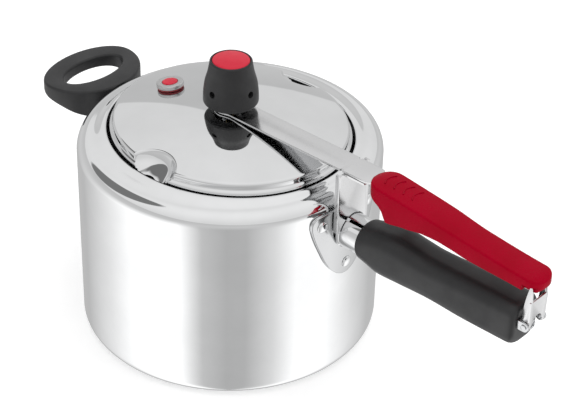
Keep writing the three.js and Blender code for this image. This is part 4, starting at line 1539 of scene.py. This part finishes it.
@dataclass
class ReliefValve:
    """Satin button with a soft plug, on a soft ring."""

    radius: float = 9.3
    height: float = 2.8
    stem: float = 4.2
    plug: float = 5.2
    plug_stem: float = 2.4
    seat: float = 1.2

    def build(self, shop: Workshop, lid: Lid) -> None:
        """Spins the ring, the button and the plug, and leans them with the dome."""
        centre, normal = relief_seat(lid)
        lean = Matrix.Translation(centre) @ normal.to_track_quat("Z", "Y").to_matrix().to_4x4()
        base = self.seat + FIT
        top = base + self.height
        ring = [
            (self.stem + FIT, FIT),
            *arc(self.radius - 0.8, FIT + 0.45, 0.45, -90, 90, 7),
            (self.stem + FIT, self.seat),
            (self.stem + FIT, FIT),
        ]
        button = [
            (self.plug_stem + FIT, -6.4),
            (self.stem, -6.4),
            (self.stem, base),
            *arc(self.radius - 0.4, base + 0.4, 0.4, -90, 0, 4),
            *arc(self.radius - 0.9, top - 0.9, 0.9, 0, 90, 7),
            *arc(self.plug + FIT + 0.3, top - 0.3, 0.3, 90, 180, 4),
            (self.plug + FIT, top - 1.2),
            (self.plug_stem + FIT, top - 1.2),
            (self.plug_stem + FIT, -6.4),
        ]
        plug = [
            (0.0, -7.0),
            (self.plug_stem, -7.0),
            (self.plug_stem, top - 0.9),
            (self.plug, top - 0.9),
            *arc(self.plug - 0.5, top - 0.1, 0.5, 0, 80, 6),
            (self.plug * 0.6, top + 0.62),
            (self.plug * 0.3, top + 0.75),
            (0.0, top + 0.8),
        ]
        parts = (
            ("relief_ring", ring, RED_SEAL, "lid", "relief_gasket"),
            ("relief_button", button, SATIN, "lid", "relief_body"),
            ("relief_soft_plug", plug, CAP_RED, "relief_plug", "relief_plug"),
        )
        for name, profile, finish, body, node in parts:
            piece = shop.spinner.spin(name, profile, finish.material(), 64)
            fit(placed(piece, lean), finish, body, node)
        dress("relief_nut", ZINC)


# ---------------------------------------------------------------- weight
@dataclass
class Weight:
    """Waisted bell with four side holes, a red cap and a metal core, over the vent pipe."""

    cap_radius: float = 12.4
    hole_radius: float = 2.3
    hole_height: float = 11.6
    bore: float = 7.4
    mouth: float = 11.0

    def build(self, shop: Workshop) -> None:
        """Builds the bell and its cap, and dresses the core and the vent's pieces."""
        low, high = box_mm("weight_body")
        widest = high.x
        top = high.z - low.z - 1.2
        outline = SmoothTable(
            [
                (1.8, widest),
                (6, widest - 0.1),
                (14, widest - 0.9),
                (22.5, widest - 3.1),
                (top - 0.4, widest - 4.3),
            ]
        )
        bell = [
            *arc(self.mouth + 0.5, 0.5, 0.5, 180, 270, 4),
            *arc(widest - 1.8, 1.8, 1.8, -90, 0, 8),
            *[(outline(z), z) for z in steps(26, 2.4, top - 0.4)],
            *arc(widest - 5.3, top + 0.2, 1.0, 5, 90, 7),
            (self.cap_radius + FIT + 0.1, top + 1.2),
            (self.cap_radius + FIT, top + 1.0),
            (self.cap_radius + FIT, top - 1.0),
            (3.0, top - 1.0),
            (3.0, top - 4.0),
            (self.bore, top - 4.0),
            (self.bore, 15.6),
            (self.mouth, 15.6),
            (self.mouth, 0.5),
        ]
        body = shop.spinner.spin("weight_bell", bell, BLACK.material(), 160)
        lift = Matrix.Translation((0, 0, low.z))
        ports = []
        for quarter in range(4):
            angle = quarter * math.pi / 2
            way = Vector((math.cos(angle), math.sin(angle), 0))
            level = Vector((0, 0, self.hole_height))
            ports.append(rod(f"port_{quarter}", self.hole_radius, level + way * 3, level + way * 22, 32))
        cut(body, *ports)
        fit(placed(body, lift), BLACK, "weight", "weight_body")
        cap = [
            (0.0, top - 3.6),
            (2.6, top - 3.6),
            (2.6, top - 0.7),
            (self.cap_radius, top - 0.7),
            (self.cap_radius, top + 0.6),
            *arc(self.cap_radius - 0.6, top + 0.7, 0.6, 0, 70, 6),
            *[(self.cap_radius * share, top + 2.7 - 1.35 * share**2) for share in steps(12, 0.9, 0.0)],
        ]
        crown = shop.spinner.spin("weight_button", cap, CAP_RED.material(), 96)
        fit(placed(crown, lift), CAP_RED, "weight", "weight_cap")
        dress("weight_core", ZINC)
        dress("vent_pipe", BRASS)
        dress("vent_seal", SILICONE)
        dress("vent_nut", ZINC)


# ---------------------------------------------------------------- arm, bridge and lid grip
@dataclass
class Arm:
    """Stainless arm over the lid, the bridge under it and the red grip at its end."""

    sheet: float = 1.5
    half_width: float = 9.8
    head: float = 11.5
    tang: float = 7.0
    level: float = 161.2
    over_rim: float = 162.2
    slope: float = -0.12
    bends: tuple[float, float] = (14.0, 100.0)
    notch_x: float = 104.0
    notch: float = 1.1
    vent: float = 5.3
    arch: float = 12.9
    grip_wall: float = 2.2

    def __post_init__(self) -> None:
        """Takes places from the frame."""
        self.strip = box_mm("lid_arm")
        self.grip = box_mm("lid_grip")
        self.web = box_mm("bridge_plate")
        ferrule = box_mm("handle_ferrule")
        self.axis = (ferrule[0].z + ferrule[1].z) / 2
        end = self.grip[1].x
        start = self.grip[0].x
        self.ridge = SmoothTable(
            [(start, 166.4), (150, 164), (178, 161), (205, 157.4), (237, 154.2), (end, 153)]
        )
        self.half = SmoothTable([(start, 12.6), (150, 12.1), (178, 11.6), (205, 10.5), (end, 10.5)])
        self.belly = SmoothTable(
            [
                (start, 158.5),
                (start + 5, 155.4),
                (start + 11, 153),
                (start + 14.7, 149.6),
                (start + 18.5, 143.2),
                (start + 30, 145.2),
                (start + 36, 146),
                (start + 46, 147.9),
                (start + 56, 148.2),
                (start + 68, 146.8),
                (start + 80, 145),
                (end - 22, 144.2),
                (end - 4, 143.6),
                (end, 146),
            ]
        )

    def build(self, shop: Workshop) -> None:
        """Builds every piece of the arm."""
        self.arm_strip()
        self.bridge()
        self.lid_grip()
        self.finger_ribs(shop)
        dress("lid_grip_screw_front", ZINC)
        dress("lid_grip_screw_rear", ZINC)

    def under(self, x: float) -> float:
        """Height of the arm's underside at a place along it, with soft bends."""
        spread = 3.0
        return sum(self.straight_under(x + offset) for offset in (-spread, 0, spread)) / 3

    def straight_under(self, x: float) -> float:
        """Height of the arm's underside with sharp bends."""
        if x > self.grip[0].x:
            return self.over_rim + self.slope * (x - self.grip[0].x)
        over_lid, over_rim = self.bends
        return lerp(self.level, self.over_rim, clamp((x - over_lid) / (over_rim - over_lid)))

    def strip_half_width(self, x: float) -> float:
        """Half the strip's width at a place along it."""
        start = self.grip[0].x
        neck = math.sqrt(self.head**2 - self.half_width**2)
        if x < neck:
            return max(0.05, math.sqrt(max(0.0, self.head**2 - x * x)))
        return lerp(self.half_width, self.tang, ease((x - start + 2) / 4))

    def arm_strip(self) -> None:
        """Flat strip with a round head, softly rounded edges and two relief notches at its bend."""
        high = self.strip[1]
        head = [-self.head * math.cos(t) for t in steps(18, 0, math.pi / 2)]
        stations = head + steps(60, 1.5, high.x)
        rings = []
        for x in stations:
            middle = self.under(x) + self.sheet / 2
            section = rounded_section(2 * self.strip_half_width(x), self.sheet, (0.35, 0.35), 4)
            rings.append([(x, y, middle + z) for y, z in section])
        strip = skin("arm_strip", rings)
        tools = [rod("vent_way", self.vent, Vector((0, 0, 150)), Vector((0, 0, 170)), 48)]
        for side in (-1, 1):
            spot = Vector((self.notch_x, side * (self.half_width - 0.4), 0))
            tools.append(
                rod(f"notch_{side}", self.notch, spot + Vector((0, 0, 150)), spot + Vector((0, 0, 175)), 24)
            )
        fit(cut(strip, *tools), STAINLESS, "lid", "lid_arm")

    def bridge(self) -> None:
        """Web astride the ferrule, its side strips and the tab under the arm."""
        low, high = self.web
        half = high.y
        face = low.x + 3.6
        foot = low.z
        start = math.degrees(math.asin((foot - self.axis) / self.arch))
        outline = [
            (-half, foot),
            (-half, high.z),
            (half, high.z),
            (half, foot),
            *arc(0, self.axis, self.arch, start, 180 - start, 32),
        ]
        web = prism("bridge_web", outline, face - self.sheet, face, lambda y, z, x: (x, y, z))
        strips = [
            block(
                f"side_{side}",
                (low.x, min(side * half, side * (half - self.sheet)), foot),
                (face, max(side * half, side * (half - self.sheet)), high.z),
            )
            for side in (-1, 1)
        ]
        tab = block(
            "tab",
            (face - self.sheet, -self.half_width, high.z - self.sheet),
            (high.x, self.half_width, high.z),
        )
        join(web, *strips, tab)
        fit(round_edges(web, 0.45, 3), STAINLESS, "lid", "bridge_plate")

    def grip_section(self, x: float) -> list[Point]:
        """One upright section of the lid grip's outside."""
        start, end = self.grip[0].x, self.grip[1].x
        nose = self.rounding(x - start + 0.5, 12)
        tail = self.rounding(end - x + 0.4, 8)
        half = self.half(x) * min(nose, tail)
        top = self.ridge(x) - 2.4 * (1 - nose) - 3 * (1 - tail)
        bottom = self.belly(x)
        section = rounded_section(2 * half, top - bottom, (1.5, 1.2), 6)
        crown = 0.5
        return [
            (x, y, (top + bottom) / 2 + z - crown * (y / max(half, 0.1)) ** 2 * clamp(z / (top - bottom) * 4))
            for y, z in section
        ]

    @staticmethod
    def rounding(distance: float, radius: float) -> float:
        """Share of the full size at a distance from a rounded end."""
        left = 1 - clamp(distance / radius)
        return math.sqrt(1 - left * left)

    def lid_grip(self) -> None:
        """Sloping channel, deep at its root, thin along its length and full at its end."""
        start, end = self.grip[0].x, self.grip[1].x
        near = [0, 0.4, 0.9, 1.5, 2.2, 3, 4, 5, 6, 7.5, 9, 10.5, 12, 13.5, 15, 16.5, 18, 18.5, 19.5]
        far = [14, 12, 10, 8, 6.5, 5, 3.8, 2.8, 2, 1.3, 0.8, 0.4, 0.15, 0]
        stations = [start + along for along in near]
        stations += steps(60, start + 21, end - 15.5)
        stations += [end - back for back in far]
        grip = skin("lid_grip_moulding", [self.grip_section(x) for x in stations])
        hollow_rings = []
        for x in [start + self.grip_wall, start + 5, start + 9, *steps(16, 138, end - 14)]:
            top = self.ridge(x) - self.grip_wall
            bottom = 120.0
            width = 2 * self.rounding(x - start, 12) * (self.half(x) - self.grip_wall)
            section = rounded_section(width, top - bottom, (1.0, 1.0), 4)
            hollow_rings.append([(x, y, (top + bottom) / 2 + z) for y, z in section])
        hollow = skin("hollow", hollow_rings)
        slot = block(
            "arm_slot",
            (start - 1, -self.tang - 1, self.over_rim - 1.2),
            (start + 8, self.tang + 1, self.over_rim + self.sheet + FIT),
        )
        clip_low, clip_high = box_mm("latch_clip")
        recesses = [
            block(
                f"recess_{side}",
                (clip_low.x - 1.2, min(side * 6.4, side * 14), 140),
                (end + 5, max(side * 6.4, side * 14), clip_high.z + 0.7),
            )
            for side in (-1, 1)
        ]
        cut(grip, hollow, slot, *recesses)
        bosses = []
        for node in ("lid_grip_screw_front", "lid_grip_screw_rear"):
            low, high = box_mm(node)
            x = (low.x + high.x) / 2
            foot = self.straight_under(x) + self.sheet + 2 * FIT
            roof = self.ridge(x) - self.grip_wall / 2
            boss = rod(f"boss_{node}", 3.8, Vector((x, 0, foot)), Vector((x, 0, roof)), 32)
            pilot = rod(f"pilot_{node}", 1.8, Vector((x, 0, foot - 2)), Vector((x, 0, roof - 0.8)), 24)
            bosses.append(cut(boss, pilot))
        join(grip, *bosses)
        fit(grip, RED, "lid", "lid_grip")

    def finger_ribs(self, shop: Workshop) -> None:
        """Four thin bowed ribs across the grip's top, near its root."""
        first = self.grip[0].x + 10.5
        pitch = 7.2
        count = 4
        fall = (self.ridge(first + (count - 1) * pitch) - self.ridge(first)) / (count - 1)
        ribs = mesh_object("finger_ribs", [])
        shop.ribs.make(
            ribs,
            RED.material(),
            Count=count,
            Pitch=(pitch * MM, 0.0, fall * MM),
            Half_Width=5.8 * MM,
            Bow=2.2 * MM,
            Thickness=0.38 * MM,
        )
        placed(ribs, Matrix.Translation((first, 1.6, self.ridge(first) - 0.12)))
        fit(ribs, RED, "lid")


# ---------------------------------------------------------------- studio
@dataclass
class Studio:
    """Pale floor, soft lights, a far world of walls and grey flats that the metal sees past the floor, and
    the camera.
    """

    azimuth: float = 41.3
    elevation: float = 34.3
    roll: float = 1.64
    sensor: float = 36.0
    lens: float = 112.3
    camera_at: Point = (0.6978, -0.7345, 0.7726)
    FLATS: ClassVar[list[tuple[float, float]]] = [
        (0.0, 0.5),
        (0.11, 0.54),
        (0.22, 0.92),
        (0.28, 1.2),
        (0.402, 1.22),
        (0.425, 0.9),
        (0.448, 0.62),
        (0.5, 0.5),
        (0.54, 0.51),
        (0.6, 0.8),
        (0.65, 1.2),
        (0.73, 1.22),
        (0.81, 0.83),
        (0.89, 0.56),
        (1.0, 0.5),
    ]

    def build(self) -> None:
        """Sets up the whole studio."""
        bpy.context.scene.view_settings.view_transform = "Standard"
        self.world()
        self.floor()
        self.lights()
        self.camera()

    @staticmethod
    def ramp(
        board: Board, share: bpy.types.NodeSocket, stops: Sequence[tuple[float, float]]
    ) -> bpy.types.NodeSocket:
        """Brightness that follows a share through listed stops.

        Args:
            board: The world's board.
            share: The share, from 0 to 1.
            stops: Pairs of share and brightness.

        Returns:
            The brightness as a colour.
        """
        node = board.add("ShaderNodeValToRGB", {"Fac": share})
        elements = node.color_ramp.elements
        elements.remove(elements[-1])
        for position, value in stops:
            element = elements.new(position)
            element.color = (value, value, value, 1)
        elements.remove(elements[0])
        return node.outputs["Color"]

    def world(self) -> None:
        """Surroundings of white walls, grey flats and one large pale light, all far away."""
        world = bpy.data.worlds.new("studio")
        bpy.context.scene.world = world
        world.use_nodes = True
        world.cycles.sampling_method = "NONE"
        board = Board(world.node_tree)
        sky = board.add("ShaderNodeTexCoord").outputs["Generated"]
        facing = board.add(
            "ShaderNodeVectorRotate",
            {"Vector": sky, "Angle": math.radians(90 - self.azimuth)},
            rotation_type="Z_AXIS",
        ).outputs[0]
        gradient = board.add("ShaderNodeTexGradient", {"Vector": facing}, gradient_type="RADIAL")
        round_share = gradient.outputs["Fac"]
        height = board.add("ShaderNodeSeparateXYZ", {0: sky}).outputs["Z"]
        flats = self.ramp(board, round_share, self.FLATS)
        ceiling = self.ceiling(board, round_share, height)
        above = board.add(
            "ShaderNodeMapRange", {"Value": height, "From Min": -0.42, "From Max": 0.02}
        ).outputs[0]
        room = board.add("ShaderNodeMix", {"Factor": above}, data_type="RGBA")
        board.feed(room.inputs["A"], flats)
        board.feed(room.inputs["B"], ceiling)
        flag = board.add("ShaderNodeMix", {"Factor": self.dark_flag(board, facing)}, data_type="RGBA")
        board.feed(flag.inputs["A"], room.outputs["Result"])
        flag.inputs["B"].default_value = (0.2, 0.2, 0.2, 1)
        board.feed(world.node_tree.nodes["Background"].inputs["Color"], flag.outputs["Result"])

    def ceiling(
        self, board: Board, round_share: bpy.types.NodeSocket, height: bpy.types.NodeSocket
    ) -> bpy.types.NodeSocket:
        """Pale light overhead, with a greyer wall under its sharp lower edge.

        Args:
            board: The world's board.
            round_share: Share of a turn.
            height: Height of the direction, from -1 to 1.

        Returns:
            The brightness as a colour.
        """
        side = self.ramp(
            board,
            round_share,
            [(0.0, 0.57), (0.02, 0.54), (0.053, 0.38), (0.3, 0.42), (0.7, 0.2), (1.0, 0.3)],
        )
        edge = board.add(
            "ShaderNodeMapRange",
            {"Value": board.sum("SUBTRACT", height, side), "From Min": -0.006, "From Max": 0.006},
        ).outputs[0]
        wall = self.ramp(board, height, [(0.0, 0.66), (0.3, 0.6), (1.0, 0.6)])
        light = self.ramp(board, height, [(0.2, 0.77), (0.5, 0.8), (0.8, 0.88), (1.0, 0.95)])
        both = board.add("ShaderNodeMix", {"Factor": edge}, data_type="RGBA")
        board.feed(both.inputs["A"], wall)
        board.feed(both.inputs["B"], light)
        return both.outputs["Result"]

    @staticmethod
    def dark_flag(board: Board, facing: bpy.types.NodeSocket) -> bpy.types.NodeSocket:
        """Share of a dark round flag high on the left, behind the pot."""
        turn, rise = math.radians(-115), math.radians(46)
        middle = (math.cos(turn) * math.cos(rise), math.sin(turn) * math.cos(rise), math.sin(rise))
        near = board.add("ShaderNodeVectorMath", {0: facing, 1: middle}, operation="DOT_PRODUCT")
        return board.add(
            "ShaderNodeMapRange",
            {"Value": near.outputs["Value"], "From Min": 0.925, "From Max": 0.94},
        ).outputs[0]

    def floor(self) -> None:
        """Large pale floor with a trace of unevenness, which polished metal looks past."""
        size = 4000.0
        corners = [(-size, -size, -0.4), (size, -size, -0.4), (size, size, -0.4), (-size, size, -0.4)]
        floor = tidy(mesh_object("studio_floor", corners, [(0, 1, 2, 3)]))
        paint = bpy.data.materials.new("studio_floor")
        paint.use_nodes = True
        board = Board(paint.node_tree)
        shader = paint.node_tree.nodes["Principled BSDF"]
        place = board.add("ShaderNodeTexCoord").outputs["Object"]
        noise = board.add("ShaderNodeTexNoise", {"Vector": place, "Scale": 60.0, "Detail": 3.0})
        tint = board.add("ShaderNodeMix", {"Factor": noise.outputs["Fac"]}, data_type="RGBA")
        tint.inputs["A"].default_value = (0.9, 0.9, 0.9, 1)
        tint.inputs["B"].default_value = (0.93, 0.93, 0.93, 1)
        board.feed(shader.inputs["Base Color"], tint.outputs["Result"])
        shader.inputs["Roughness"].default_value = 0.9
        shader.inputs["Specular IOR Level"].default_value = 0.0
        shader.inputs["Emission Color"].default_value = (1, 1, 1, 1)
        shader.inputs["Emission Strength"].default_value = 0.3
        floor.data.materials.append(paint)
        floor.visible_glossy = False

    def lights(self) -> None:
        """One large overhead light and two softer side lights."""
        for name, spot, size, power in (
            ("overhead_light", (0.0, 0.3, 2.2), 2.2, 12.0),
            ("left_light", (-1.6, -1.2, 1.4), 1.2, 4.0),
            ("right_light", (1.8, 0.6, 1.5), 1.0, 3.0),
        ):
            data = bpy.data.lights.new(name, "AREA")
            data.size = size
            data.energy = power
            light = bpy.data.objects.new(name, data)
            light.location = spot
            light.rotation_mode = "QUATERNION"
            light.rotation_quaternion = (Vector((0, 0, 0.1)) - Vector(spot)).to_track_quat("-Z", "Y")
            light.visible_glossy = False
            bpy.context.scene.collection.objects.link(light)

    def camera(self) -> None:
        """Camera with a long lens, above and in front of the long handle's near side."""
        a, e, r = (math.radians(angle) for angle in (self.azimuth, self.elevation, self.roll))
        right = Vector((math.cos(a), math.sin(a), 0))
        back = Vector((math.sin(a) * math.cos(e), -math.cos(a) * math.cos(e), math.sin(e)))
        up = back.cross(right)
        leaned_right = right * math.cos(r) + up * math.sin(r)
        leaned_up = up * math.cos(r) - right * math.sin(r)
        data = bpy.data.cameras.new("camera")
        data.sensor_width = self.sensor
        data.lens = self.lens
        camera = bpy.data.objects.new("camera", data)
        turn = Matrix((leaned_right, leaned_up, back)).transposed()
        camera.matrix_world = Matrix.Translation(self.camera_at) @ turn.to_4x4()
        bpy.context.scene.collection.objects.link(camera)
        bpy.context.scene.camera = camera


def main() -> None:
    """Builds the cooker's pieces in order, then the studio."""
    logging.basicConfig(level=logging.INFO, format="%(name)s: %(message)s")
    shop = Workshop(Spinner(), RivetSetter(), RibRow())
    lid = Lid()
    Pot().build(shop)
    LongHandle().build(shop)
    Latch().build()
    HelperHandle().build(shop)
    lid.build()
    ReliefValve().build(shop, lid)
    Weight().build(shop)
    Arm().build(shop)
    Studio().build()


if __name__ == "__main__":
    main()
